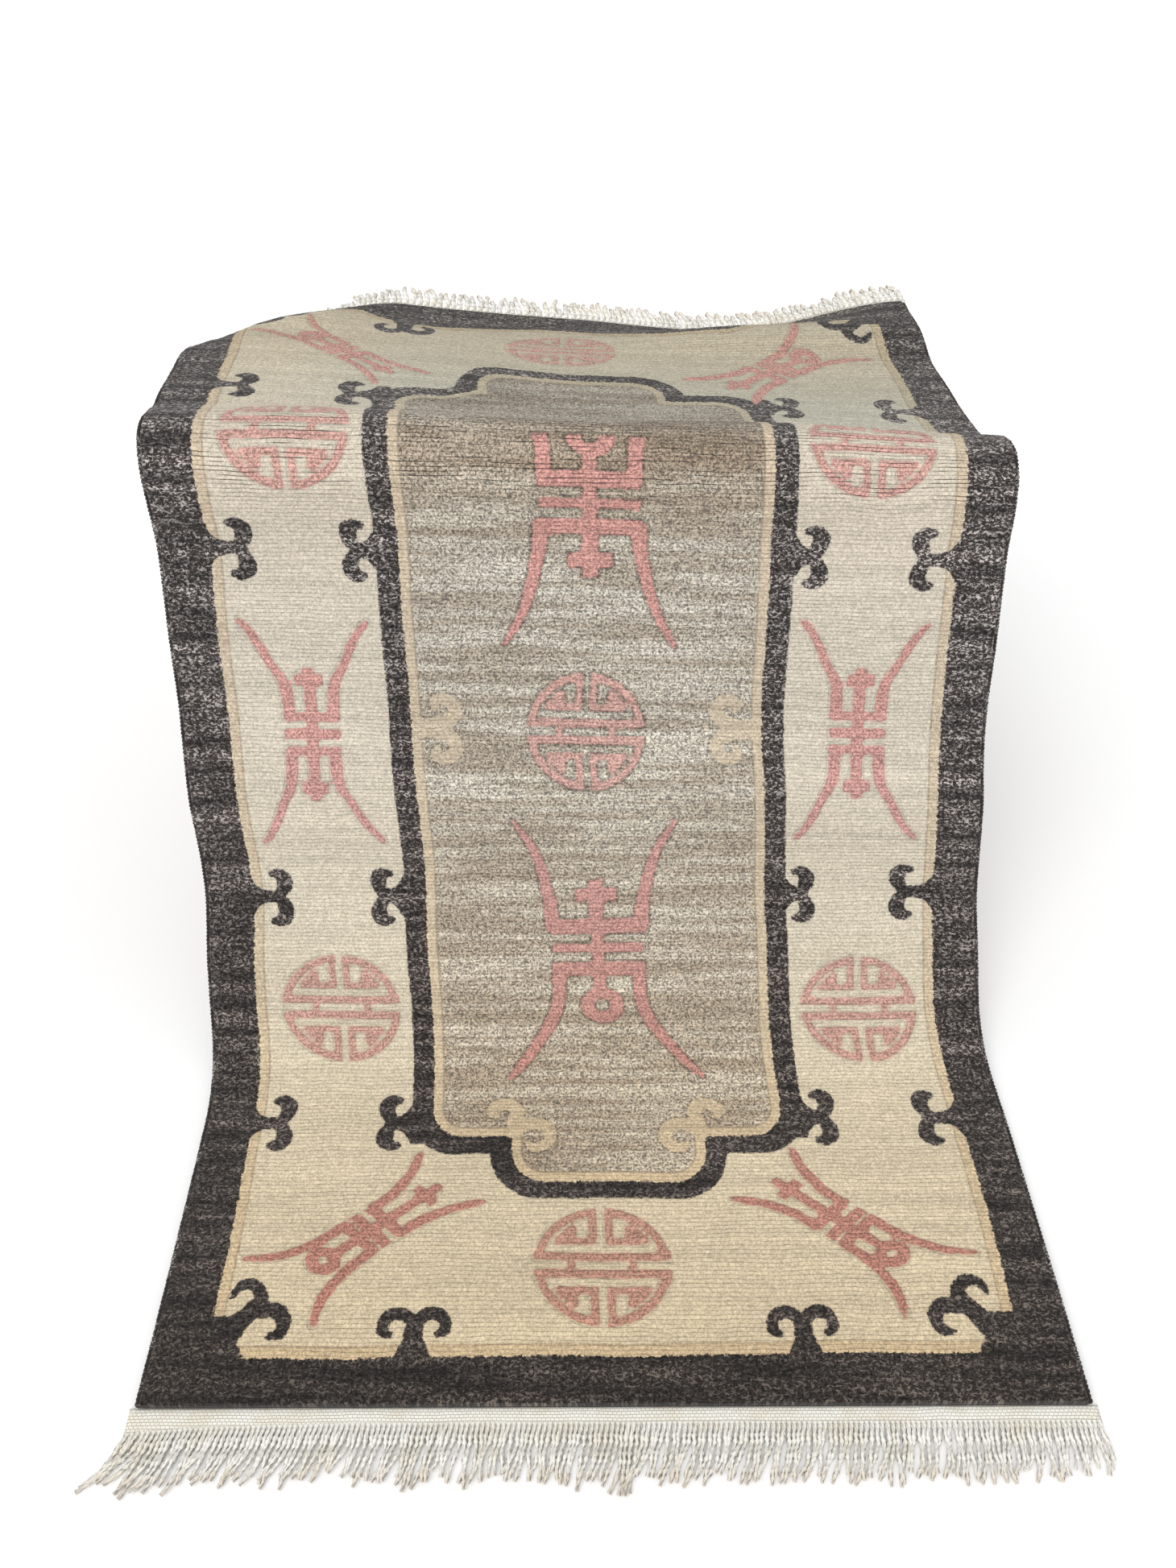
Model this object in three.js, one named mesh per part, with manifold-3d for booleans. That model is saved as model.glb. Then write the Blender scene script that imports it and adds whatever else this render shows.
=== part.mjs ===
// A knotted wool rug draped over a low wooden table.
// Millimetres, +Z up. The rug's near end lies on the floor along X and the rug runs back along +Y.

import * as THREE from 'three';
import Module from 'manifold-3d';

const wasm = await Module();
wasm.setup();

// Driving sizes
const RUG_WIDTH = 920;
const RUG_LENGTH = 1536;
const RUG_THICKNESS = 13;
const GAP = 0.3;

const SELVEDGE_DIAMETER = 8.6;
const SELVEDGE_SIDES = 6;
const SELVEDGE_GAP = 0.5;
const PILE_HALF = RUG_WIDTH / 2 - SELVEDGE_DIAMETER - SELVEDGE_GAP;

const BAND_LENGTH = 17;
const BAND_THICKNESS = 4;

// stray: how much the lengths differ. lean: how far the tips lie to the right. splay: how much farther
// out the end strands spread. bends: straight stretches in a strand.
const NEAR_FRINGE = {
  strands: 144, length: 46, stray: 9, lean: -8, splayLeft: 17, splayRight: 17, droop: 0, bends: 2, seed: 5,
};
const FAR_FRINGE = {
  strands: 96, length: 64, stray: 9, lean: 3, splayLeft: 0, splayRight: 4, droop: 4, bends: 1, seed: 11,
};
const SPLAY_SPREAD = 40;
const STRAND = { width: 4, height: 3.4, tipShare: 0.6, rootDepth: 3, stray: 1.6 };
const LEAN_WAVE = { share: 0.5, spread: 70 };
const DROOP_RANGE = { least: 0.7, more: 0.6 };

const TABLE = { left: -400, right: 385, front: 698, back: 1020, height: 580 };
const TABLE_TOP_THICKNESS = 22;
const TABLE_EDGE_RADIUS = 9;
const LEG_WIDTH = 44;
const LEG_INSET = 22;
const APRON_HEIGHT = 62;
const APRON_THICKNESS = 18;

// The pile's top seen from the side: its slope in degrees, by distance along the rug from the near end
const SLOPES = [
  { along: 0, slope: 0 },
  { along: 300, slope: 0 },
  { along: 345, slope: 9 },
  { along: 385, slope: 30 },
  { along: 425, slope: 46 },
  { along: 470, slope: 52 },
  { along: 530, slope: 44 },
  { along: 590, slope: 65 },
  { along: 650, slope: 72 },
  { along: 710, slope: 56 },
  { along: 770, slope: 61 },
  { along: 830, slope: 72 },
  { along: 890, slope: 67 },
  { along: 950, slope: 68 },
  { along: 1000, slope: 85 },
  { along: 1040, slope: 72 },
  { along: 1075, slope: 47 },
  { along: 1105, slope: 11 },
  { along: 1135, slope: -24 },
  { along: 1165, slope: -30 },
  { along: 1200, slope: -9 },
  { along: 1260, slope: -4 },
  { along: 1340, slope: -2 },
  { along: 1420, slope: -3 },
  { along: 1480, slope: -9 },
  { along: 1536, slope: 0 },
];

// How far the rug's middle line lies to the right of the Y axis, and how much farther up the drape the
// left edge lies than the middle, and the middle than the right edge
const LEANS = [
  { along: 0, shift: 29, slant: 0 },
  { along: 300, shift: 26, slant: 0 },
  { along: 450, shift: 13, slant: 2 },
  { along: 600, shift: 9, slant: 4 },
  { along: 770, shift: 1, slant: 7 },
  { along: 950, shift: 1, slant: 10 },
  { along: 1300, shift: -5, slant: 6 },
  { along: 1536, shift: -7, slant: 4 },
];

// Waves across the folded part: how far each line stands above the middle one, and how far the two
// edges are carried sideways
const WAVES = [
  { along: 1000, left: 0, midLeft: 0, midRight: 0, right: 0, carryLeft: 0, carryRight: 0 },
  { along: 1050, left: 2, midLeft: 3, midRight: -1, right: -3, carryLeft: -1, carryRight: -1 },
  { along: 1080, left: 4, midLeft: 6, midRight: -3, right: -11, carryLeft: -2, carryRight: -1 },
  { along: 1120, left: 8, midLeft: 9, midRight: -5, right: -17, carryLeft: -3, carryRight: -2 },
  { along: 1160, left: 16, midLeft: 12, midRight: -5, right: -17, carryLeft: -8, carryRight: -7 },
  { along: 1220, left: 26, midLeft: 15, midRight: -4, right: -11, carryLeft: -10, carryRight: -12 },
  { along: 1300, left: 27, midLeft: 18, midRight: -7, right: -9, carryLeft: -13, carryRight: -13 },
  { along: 1380, left: 28, midLeft: 18, midRight: -8, right: -6, carryLeft: -20, carryRight: -17 },
  { along: 1460, left: 46, midLeft: 17, midRight: 13, right: 16, carryLeft: -26, carryRight: -21 },
  { along: 1536, left: 64, midLeft: 22, midRight: -13, right: 26, carryLeft: -28, carryRight: -25 },
];
const WAVE_LINES = ['left', 'midLeft', 'middle', 'midRight', 'right'];

// The far left corner hangs down past a line across it, from the rug's left edge to its far end
const CORNER_FOLD = { edgeAlong: 1308, endAcross: -209, bend: 62, steepest: 58 };

// Grid stops along the rug: closer together where it bends more
const STRETCHES = [
  { from: 0, to: 300, steps: 2 },
  { from: 300, to: 600, steps: 10 },
  { from: 600, to: 980, steps: 9 },
  { from: 980, to: 1220, steps: 17 },
  { from: 1220, to: 1300, steps: 2 },
  { from: 1300, to: 1536, steps: 16 },
];
const STEPS_ACROSS = 20;
const PROFILE_STEP = 4;
const PROBE = 1.5;

// Reading a table between its rows, with no overshoot
function steepness(rows, key, i) {
  if (i === 0 || i === rows.length - 1) {
    return 0;
  }
  const before = (rows[i][key] - rows[i - 1][key]) / (rows[i].along - rows[i - 1].along);
  const after = (rows[i + 1][key] - rows[i][key]) / (rows[i + 1].along - rows[i].along);
  return before * after > 0 ? (2 * before * after) / (before + after) : 0;
}

function hermite(a, b, slopeA, slopeB, span, t) {
  const u = 1 - t;
  return a * (1 + 2 * t) * u * u + b * (3 - 2 * t) * t * t + span * t * u * (slopeA * u - slopeB * t);
}

function read(rows, key, along) {
  const last = rows.length - 1;
  if (along <= rows[0].along) {
    return rows[0][key];
  }
  if (along >= rows[last].along) {
    return rows[last][key];
  }
  const i = rows.findIndex((row) => row.along > along) - 1;
  const span = rows[i + 1].along - rows[i].along;
  const t = (along - rows[i].along) / span;
  return hermite(rows[i][key], rows[i + 1][key], steepness(rows, key, i), steepness(rows, key, i + 1), span, t);
}

// The side profile of the pile's top, added up from the slopes
const profile = [{ y: 0, z: RUG_THICKNESS }];
for (let along = 0; along < RUG_LENGTH; along += PROFILE_STEP) {
  const slope = THREE.MathUtils.degToRad(read(SLOPES, 'slope', along + PROFILE_STEP / 2));
  const { y, z } = profile.at(-1);
  profile.push({ y: y + PROFILE_STEP * Math.cos(slope), z: z + PROFILE_STEP * Math.sin(slope) });
}

function profileAt(along) {
  const slope = THREE.MathUtils.degToRad(read(SLOPES, 'slope', along));
  const i = THREE.MathUtils.clamp(Math.floor(along / PROFILE_STEP), 0, profile.length - 2);
  const t = along / PROFILE_STEP - i;
  const [a, b] = [profile[i], profile[i + 1]];
  return { y: a.y + (b.y - a.y) * t, z: a.z + (b.z - a.z) * t, slope };
}

function waveLift(across, along) {
  const heights = WAVE_LINES.map((line) => (line === 'middle' ? 0 : read(WAVES, line, along)));
  const position = THREE.MathUtils.clamp((across / RUG_WIDTH + 0.5) * 4, 0, 4);
  const i = Math.min(Math.floor(position), 3);
  const tilt = (k) => (k === 0 || k === 4 ? 0 : (heights[k + 1] - heights[k - 1]) / 2);
  return hermite(heights[i], heights[i + 1], tilt(i), tilt(i + 1), 1, position - i);
}

function carried(across, along) {
  const side = across < 0 ? 'carryLeft' : 'carryRight';
  return read(WAVES, side, along) * Math.abs(across) / (RUG_WIDTH / 2);
}

// Bends what lies past the corner's fold line down around it
const foldEdge = new THREE.Vector2(-RUG_WIDTH / 2, CORNER_FOLD.edgeAlong);
const foldRun = new THREE.Vector2(CORNER_FOLD.endAcross, RUG_LENGTH).sub(foldEdge);
const pastFold = new THREE.Vector2(-foldRun.y, foldRun.x).normalize();

function hangCorner(point, across, along) {
  const past = new THREE.Vector2(across, Math.min(along, RUG_LENGTH)).sub(foldEdge).dot(pastFold);
  if (past <= 0) {
    return point;
  }
  const angle = Math.min(past / CORNER_FOLD.bend, THREE.MathUtils.degToRad(CORNER_FOLD.steepest));
  const straight = past - angle * CORNER_FOLD.bend;
  const kept = CORNER_FOLD.bend * Math.sin(angle) + straight * Math.cos(angle);
  const drop = CORNER_FOLD.bend * (1 - Math.cos(angle)) + straight * Math.sin(angle);
  point.x -= pastFold.x * (past - kept);
  point.y -= pastFold.y * (past - kept);
  point.z -= drop;
  return point;
}

function pileTop(across, along) {
  const slant = read(LEANS, 'slant', along) * across / (RUG_WIDTH / 2);
  const { y, z, slope } = profileAt(along - slant);
  const lift = waveLift(across, along);
  const point = new THREE.Vector3(
    across + read(LEANS, 'shift', along) + carried(across, along),
    y - lift * Math.sin(slope),
    z + lift * Math.cos(slope),
  );
  const restingTop = TABLE.height + GAP + RUG_THICKNESS;
  if (along > RUG_LENGTH / 2 && point.y < TABLE.back + TABLE_EDGE_RADIUS) {
    point.z = point.y > TABLE.front + RUG_THICKNESS ? Math.max(point.z, restingTop) : point.z;
  }
  return hangCorner(point, across, along);
}

function frameAt(across, along) {
  const top = pileTop(across, along);
  const aside = pileTop(across + PROBE, along).sub(pileTop(across - PROBE, along)).normalize();
  const onward = pileTop(across, along + PROBE).sub(pileTop(across, along - PROBE)).normalize();
  const normal = new THREE.Vector3().crossVectors(aside, onward).normalize();
  return { top, aside, normal };
}

// A point at a depth under the pile's top
function below(across, along, depth) {
  const { top, normal } = frameAt(across, along);
  return top.addScaledVector(normal, -depth);
}

function stops(from, to, steps) {
  return Array.from({ length: steps + 1 }, (_, i) => from + ((to - from) * i) / steps);
}

// A closed mesh from points and triangles, turned so that its faces point out
function closedGeometry(points, triangles) {
  const volume = triangles.reduce((sum, [a, b, c]) => {
    const cross = new THREE.Vector3().crossVectors(points[b], points[c]);
    return sum + points[a].dot(cross);
  }, 0);
  const ordered = volume > 0 ? triangles : triangles.map(([a, b, c]) => [a, c, b]);
  const geometry = new THREE.BufferGeometry().setFromPoints(points);
  geometry.setIndex(ordered.flat());
  geometry.computeVertexNormals();
  return geometry;
}

// A sheet that follows the drape, between two depths under the pile's top
function sheet(acrossStops, alongStops, upper, lower) {
  const columns = acrossStops.length;
  const rows = alongStops.length;
  const layer = (depth) => alongStops.flatMap((along) => acrossStops.map((across) => below(across, along, depth)));
  const points = [...layer(upper), ...layer(lower)];
  const at = (i, j, face) => face * columns * rows + j * columns + i;
  const triangles = [];
  const quad = (a, b, c, d) => triangles.push([a, b, c], [a, c, d]);
  for (let j = 0; j + 1 < rows; j += 1) {
    for (let i = 0; i + 1 < columns; i += 1) {
      quad(at(i, j, 0), at(i + 1, j, 0), at(i + 1, j + 1, 0), at(i, j + 1, 0));
      quad(at(i, j + 1, 1), at(i + 1, j + 1, 1), at(i + 1, j, 1), at(i, j, 1));
    }
    quad(at(0, j, 1), at(0, j, 0), at(0, j + 1, 0), at(0, j + 1, 1));
    quad(at(columns - 1, j + 1, 1), at(columns - 1, j + 1, 0), at(columns - 1, j, 0), at(columns - 1, j, 1));
  }
  for (let i = 0; i + 1 < columns; i += 1) {
    quad(at(i + 1, 0, 1), at(i + 1, 0, 0), at(i, 0, 0), at(i, 0, 1));
    quad(at(i, rows - 1, 1), at(i, rows - 1, 0), at(i + 1, rows - 1, 0), at(i + 1, rows - 1, 1));
  }
  return closedGeometry(points, triangles);
}

// Joined solids
function toManifold(geometry) {
  const mesh = new wasm.Mesh({
    numProp: 3,
    vertProperties: new Float32Array(geometry.getAttribute('position').array),
    triVerts: new Uint32Array(geometry.getIndex().array),
  });
  return new wasm.Manifold(mesh);
}

function fromManifold(solid) {
  const { vertProperties, triVerts } = solid.getMesh();
  const geometry = new THREE.BufferGeometry();
  geometry.setAttribute('position', new THREE.BufferAttribute(vertProperties, 3));
  geometry.setIndex(new THREE.BufferAttribute(triVerts, 1));
  geometry.computeVertexNormals();
  return geometry;
}

function seededRandom(seed) {
  let state = seed * 2654435761;
  return () => {
    state = (Math.imul(state ^ (state >>> 15), 1 | state) + 0x6d2b79f5) | 0;
    return ((state ^ (state >>> 13)) >>> 0) / 4294967296;
  };
}

// A closed bar through rings of points, flat at both ends
function loft(rings) {
  const sides = rings[0].length;
  const last = sides * (rings.length - 1);
  const triangles = [];
  for (let ring = 0; ring < last; ring += sides) {
    for (let side = 0; side < sides; side += 1) {
      const [a, b] = [ring + side, ring + ((side + 1) % sides)];
      triangles.push([a, b, b + sides], [a, b + sides, a + sides]);
    }
  }
  for (let side = 1; side + 1 < sides; side += 1) {
    triangles.push([0, side + 1, side], [last, last + side, last + side + 1]);
  }
  return closedGeometry(rings.flat(), triangles);
}

// One three-sided cotton strand, flat side down, from inside the woven band out past the end
function strand({ across, start, direction, length, lean, droop, bends }) {
  const rings = stops(0, 1, bends).map((way) => {
    const along = start + direction * length * way;
    const { aside, normal } = frameAt(across, along);
    const base = below(across + lean * way * way, along, RUG_THICKNESS);
    base.z -= droop * way * way;
    const share = 1 - (1 - STRAND.tipShare) * way;
    return [
      base.clone().addScaledVector(aside, (-STRAND.width / 2) * share),
      base.clone().addScaledVector(aside, (STRAND.width / 2) * share),
      base.clone().addScaledVector(normal, STRAND.height * share),
    ];
  });
  return loft(rings);
}

// A flatwoven band past one end of the pile, with its fringe
function fringe(kind, end, direction) {
  const { strands, length, stray, lean, splayLeft, splayRight, droop, bends, seed } = kind;
  const random = seededRandom(seed);
  const half = RUG_WIDTH / 2;
  const near = end + direction * GAP;
  const far = near + direction * BAND_LENGTH;
  const bandAcross = stops(-half, half, STEPS_ACROSS);
  const band = sheet(bandAcross, [near, far], RUG_THICKNESS - BAND_THICKNESS, RUG_THICKNESS);
  let solid = toManifold(band);
  const pitch = (RUG_WIDTH - STRAND.width) / (strands - 1);
  for (let i = 0; i < strands; i += 1) {
    const across = -half + STRAND.width / 2 + i * pitch;
    const one = strand({
      across,
      start: far - direction * STRAND.rootDepth,
      direction,
      length: length + STRAND.rootDepth + stray * (random() - 0.5),
      lean: lean * (1 + LEAN_WAVE.share * Math.sin(across / LEAN_WAVE.spread)) + STRAND.stray * (random() - 0.5)
        - splayLeft * Math.exp(-(half + across) / SPLAY_SPREAD)
        + splayRight * Math.exp(-(half - across) / SPLAY_SPREAD),
      droop: droop * (DROOP_RANGE.least + DROOP_RANGE.more * random()),
      bends,
    });
    solid = solid.add(toManifold(one));
  }
  return fromManifold(solid);
}

// The overcast cord along one side, a gap away from the pile's edge and from both bands
function selvedge(side) {
  const radius = SELVEDGE_DIAMETER / 2;
  const angles = stops(0, 2 * Math.PI, SELVEDGE_SIDES).slice(1);
  const rings = alongStops().map((stop) => {
    const along = THREE.MathUtils.clamp(stop, GAP, RUG_LENGTH - GAP);
    const { top, aside, normal } = frameAt(side * PILE_HALF, along);
    const outwards = side * (radius + SELVEDGE_GAP);
    const centre = top.addScaledVector(normal, -RUG_THICKNESS / 2).addScaledVector(aside, outwards);
    return angles.map((angle) => centre.clone()
      .addScaledVector(aside, radius * Math.cos(angle))
      .addScaledVector(normal, radius * Math.sin(angle)));
  });
  return loft(rings);
}

function alongStops() {
  const list = STRETCHES.flatMap(({ from, to, steps }) => stops(from, to, steps).slice(0, -1));
  return [...list, RUG_LENGTH];
}

function pile() {
  return sheet(stops(-PILE_HALF, PILE_HALF, STEPS_ACROSS), alongStops(), 0, RUG_THICKNESS);
}

// The table's top, with its long edges rounded
function tableTop() {
  const depth = TABLE.back - TABLE.front;
  const radius = TABLE_EDGE_RADIUS;
  const thick = TABLE_TOP_THICKNESS;
  const section = new THREE.Shape();
  section.moveTo(radius, 0);
  section.lineTo(depth - radius, 0);
  section.absarc(depth - radius, radius, radius, -Math.PI / 2, 0);
  section.absarc(depth - radius, thick - radius, radius, 0, Math.PI / 2);
  section.absarc(radius, thick - radius, radius, Math.PI / 2, Math.PI);
  section.absarc(radius, radius, radius, Math.PI, 1.5 * Math.PI);
  const geometry = new THREE.ExtrudeGeometry(section, {
    depth: TABLE.right - TABLE.left,
    bevelEnabled: false,
    curveSegments: 5,
  });
  return geometry.rotateX(Math.PI / 2).rotateZ(Math.PI / 2);
}

// Finishes
const wool = new THREE.MeshStandardMaterial({ color: 0xb3a893, roughness: 0.95, metalness: 0 });
const darkWool = new THREE.MeshStandardMaterial({ color: 0x37302d, roughness: 0.95, metalness: 0 });
const cotton = new THREE.MeshStandardMaterial({ color: 0xe4dfd2, roughness: 0.9, metalness: 0 });
const wood = new THREE.MeshStandardMaterial({ color: 0x8a6240, roughness: 0.6, metalness: 0 });

const model = new THREE.Group();

function add(parent, name, geometry, material, position = [0, 0, 0]) {
  const mesh = new THREE.Mesh(geometry, material.clone());
  mesh.name = name;
  mesh.position.set(...position);
  parent.add(mesh);
}

function addRug() {
  const rug = new THREE.Group();
  add(rug, 'rug', pile(), wool);
  add(rug, 'left_selvedge', selvedge(-1), darkWool);
  add(rug, 'right_selvedge', selvedge(1), darkWool);
  add(rug, 'near_fringe', fringe(NEAR_FRINGE, 0, -1), cotton);
  add(rug, 'far_fringe', fringe(FAR_FRINGE, RUG_LENGTH, 1), cotton);
  model.add(rug);
}

function addTable() {
  const table = new THREE.Group();
  const underTop = TABLE.height - TABLE_TOP_THICKNESS;
  add(table, 'table_top', tableTop(), wood, [TABLE.left, TABLE.front, underTop]);
  const legHeight = underTop - GAP;
  const legX = [TABLE.left + LEG_INSET + LEG_WIDTH / 2, TABLE.right - LEG_INSET - LEG_WIDTH / 2];
  const legY = [TABLE.front + LEG_INSET + LEG_WIDTH / 2, TABLE.back - LEG_INSET - LEG_WIDTH / 2];
  const rows = [['front', legY[0]], ['back', legY[1]]];
  const sides = [['left', legX[0]], ['right', legX[1]]];
  const apronZ = legHeight - APRON_HEIGHT / 2;
  for (const [row, y] of rows) {
    for (const [side, x] of sides) {
      const leg = new THREE.BoxGeometry(LEG_WIDTH, LEG_WIDTH, legHeight);
      add(table, `${row}_${side}_leg`, leg, wood, [x, y, legHeight / 2]);
    }
    const length = legX[1] - legX[0] - LEG_WIDTH - 2 * GAP;
    const rail = new THREE.BoxGeometry(length, APRON_THICKNESS, APRON_HEIGHT);
    add(table, `${row}_apron`, rail, wood, [(legX[0] + legX[1]) / 2, y, apronZ]);
  }
  for (const [side, x] of sides) {
    const length = legY[1] - legY[0] - LEG_WIDTH - 2 * GAP;
    const rail = new THREE.BoxGeometry(APRON_THICKNESS, length, APRON_HEIGHT);
    add(table, `${side}_apron`, rail, wood, [x, (legY[0] + legY[1]) / 2, apronZ]);
  }
  model.add(table);
}

addRug();
addTable();

// The origin is on the floor, under the middle of the whole outline
const outline = new THREE.Box3().setFromObject(model);
const middle = outline.getCenter(new THREE.Vector3());
model.position.set(-middle.x, -middle.y, 0);

export default model;
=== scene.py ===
"""A knotted wool rug with longevity ornaments, draped over a low wooden table."""

import math

import bmesh
import bpy
import numpy as np
from mathutils import Matrix, Vector


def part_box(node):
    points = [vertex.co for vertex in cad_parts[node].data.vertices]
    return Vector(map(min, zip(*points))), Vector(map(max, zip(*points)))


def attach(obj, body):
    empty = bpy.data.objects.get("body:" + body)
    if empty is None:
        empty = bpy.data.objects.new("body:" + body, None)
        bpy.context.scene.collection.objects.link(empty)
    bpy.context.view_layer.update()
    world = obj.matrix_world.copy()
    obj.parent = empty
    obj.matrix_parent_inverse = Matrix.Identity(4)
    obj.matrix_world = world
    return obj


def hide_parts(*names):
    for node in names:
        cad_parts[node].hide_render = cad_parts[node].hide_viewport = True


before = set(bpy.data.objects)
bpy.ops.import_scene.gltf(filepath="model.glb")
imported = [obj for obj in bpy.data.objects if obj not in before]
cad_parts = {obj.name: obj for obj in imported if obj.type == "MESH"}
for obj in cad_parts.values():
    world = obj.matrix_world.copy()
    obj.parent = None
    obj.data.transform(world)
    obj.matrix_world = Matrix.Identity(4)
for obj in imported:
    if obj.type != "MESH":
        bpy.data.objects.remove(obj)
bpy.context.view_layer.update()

bl_info = {
    "name": "Draped Rug",
    "version": (1, 0, 0),
    "blender": (4, 5, 0),
    "location": "View3D > Sidebar > Rug",
    "description": "Builds a knotted rug draped over a low table",
    "category": "Add Mesh",
}

MM = 0.001

# The camera: place in millimetres, turns in degrees, focal length in pixels of the photograph's frame
CAMERA = {"place": (-7.6, -1000.2, 1202.1), "pitch": 43.033, "yaw": 0.317, "roll": 0.116, "focal": 1464.9}
PHOTO_WIDTH = 1460
SENSOR_WIDTH = 36
CLIP_START = 0.01

# The rug, in millimetres: across from the middle line, along from the near end
RUG_WIDTH = 920
RUG_LENGTH = 1536
RUG_THICKNESS = 13
GAP = 0.3
SELVEDGE = {"diameter": 8.6, "gap": 0.5, "tuck": 4.0, "stops": 385}
HALF = RUG_WIDTH / 2
PILE_HALF = HALF - SELVEDGE["diameter"] - SELVEDGE["gap"]
MAP_SPAN = 1600

# The table, on the same lines as the rug
TABLE = {"left": -400, "front": 698, "back": 1020, "height": 580, "edge": 9}

# The slope of the pile's top in degrees, by distance along the rug
SLOPES = {
    "along": (0, 300, 345, 385, 425, 470, 530, 590, 650, 710, 770, 830, 890, 950, 1000, 1040,
              1075, 1105, 1135, 1165, 1200, 1260, 1340, 1420, 1480, 1536),
    "slope": (0, 0, 9, 30, 46, 52, 44, 65, 72, 56, 61, 72, 67, 68, 85, 72,
              47, 11, -24, -30, -9, -4, -2, -3, -9, 0),
}
# How far the middle line lies to the right, and how much farther up the drape the left edge lies
LEANS = {
    "along": (0, 300, 450, 600, 770, 950, 1300, 1536),
    "shift": (29, 26, 13, 9, 1, 1, -5, -7),
    "slant": (0, 0, 2, 4, 7, 10, 6, 4),
}
# How high the folded part waves at five even places across it, from the left edge to the right one
WAVES = {
    "along": (1000, 1050, 1080, 1120, 1160, 1220, 1300, 1380, 1460, 1536),
    "left": (0, 2, 4, 8, 16, 26, 27, 28, 46, 64),
    "mid_left": (0, 3, 6, 9, 12, 15, 18, 18, 17, 22),
    "middle": (0, 0, 0, 0, 0, 0, 0, 0, 0, 0),
    "mid_right": (0, -1, -3, -5, -5, -4, -7, -8, 13, -13),
    "right": (0, -3, -11, -17, -17, -11, -9, -6, 16, 26),
}
WAVE_COLUMNS = ("left", "mid_left", "middle", "mid_right", "right")
# How far the folded part's two edges are carried to the right
CARRIES = {
    "along": WAVES["along"],
    "left": (0, -1, -2, -3, -8, -10, -13, -20, -26, -28),
    "right": (0, -1, -1, -2, -7, -12, -13, -17, -21, -25),
}
CORNER_FOLD = {"edge_along": 1308, "end_across": -209, "bend": 62, "steepest": 58}
PROFILE_STEP = 4
PROBE = 1.5

# Where the rug's own lines start in the frame
table_low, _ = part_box("table_top")
ORIGIN = np.array([table_low[0] - TABLE["left"] * MM, table_low[1] - TABLE["front"] * MM, 0])


# The drape
def hermite(a, b, slope_a, slope_b, span, t):
    u = 1 - t
    return a * (1 + 2 * t) * u * u + b * (3 - 2 * t) * t * t + span * t * u * (slope_a * u - slope_b * t)


def read(table, column, along):
    """A column of a table between its rows, with no overshoot."""
    x = np.array(table["along"], float)
    y = np.array(table[column], float)
    rate = np.diff(y) / np.diff(x)
    product = rate[:-1] * rate[1:]
    steep = np.zeros_like(y)
    steep[1:-1] = np.where(product > 0, 2 * product / np.where(product > 0, rate[:-1] + rate[1:], 1), 0)
    along = np.clip(along, x[0], x[-1])
    i = np.clip(np.searchsorted(x, along, side="right") - 1, 0, len(x) - 2)
    span = x[i + 1] - x[i]
    return hermite(y[i], y[i + 1], steep[i], steep[i + 1], span, (along - x[i]) / span)


def side_profile(along):
    """How far back and how high the pile's top lies, and its slope there."""
    starts = np.arange(0, RUG_LENGTH, PROFILE_STEP)
    slopes = np.radians(read(SLOPES, "slope", starts + PROFILE_STEP / 2))
    y = np.concatenate([[0], np.cumsum(PROFILE_STEP * np.cos(slopes))])
    z = np.concatenate([[0], np.cumsum(PROFILE_STEP * np.sin(slopes))]) + RUG_THICKNESS
    i = np.clip(np.floor(along / PROFILE_STEP).astype(int), 0, len(y) - 2)
    t = along / PROFILE_STEP - i
    slope = np.radians(read(SLOPES, "slope", along))
    return y[i] + (y[i + 1] - y[i]) * t, z[i] + (z[i + 1] - z[i]) * t, slope


def wave_lift(across, along):
    heights = np.stack([read(WAVES, column, along) for column in WAVE_COLUMNS])
    tilt = np.zeros_like(heights)
    tilt[1:-1] = (heights[2:] - heights[:-2]) / 2
    last = len(WAVE_COLUMNS) - 1
    place = np.clip((across / RUG_WIDTH + 0.5) * last, 0, last)
    i = np.minimum(np.floor(place).astype(int), last - 1)

    def pick(rows, k):
        return np.take_along_axis(rows, k[None], 0)[0]

    return hermite(pick(heights, i), pick(heights, i + 1), pick(tilt, i), pick(tilt, i + 1), 1, place - i)


def hang_corner(point, across, along):
    """Bends what lies past the corner's fold line down around it."""
    edge = np.array([-HALF, CORNER_FOLD["edge_along"]])
    run = np.array([CORNER_FOLD["end_across"], RUG_LENGTH]) - edge
    past_way = np.array([-run[1], run[0]]) / np.hypot(*run)
    past = (across - edge[0]) * past_way[0] + (np.minimum(along, RUG_LENGTH) - edge[1]) * past_way[1]
    past = np.maximum(past, 0)
    bend = CORNER_FOLD["bend"]
    angle = np.minimum(past / bend, np.radians(CORNER_FOLD["steepest"]))
    straight = past - angle * bend
    kept = bend * np.sin(angle) + straight * np.cos(angle)
    point[..., 0] -= past_way[0] * (past - kept)
    point[..., 1] -= past_way[1] * (past - kept)
    point[..., 2] -= bend * (1 - np.cos(angle)) + straight * np.sin(angle)
    return point


def pile_top(across, along):
    across, along = np.broadcast_arrays(np.asarray(across, float), np.asarray(along, float))
    y, z, slope = side_profile(along - read(LEANS, "slant", along) * across / HALF)
    lift = wave_lift(across, along)
    carry = np.where(across < 0, read(CARRIES, "left", along), read(CARRIES, "right", along))
    x = across + read(LEANS, "shift", along) + carry * np.abs(across) / HALF
    y = y - lift * np.sin(slope)
    z = z + lift * np.cos(slope)
    resting = TABLE["height"] + GAP + RUG_THICKNESS
    over = (y < TABLE["back"] + TABLE["edge"]) & (y > TABLE["front"] + RUG_THICKNESS)
    z = np.where(over & (along > RUG_LENGTH / 2), np.maximum(z, resting), z)
    return hang_corner(np.stack([x, y, z], -1), across, along)


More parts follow.
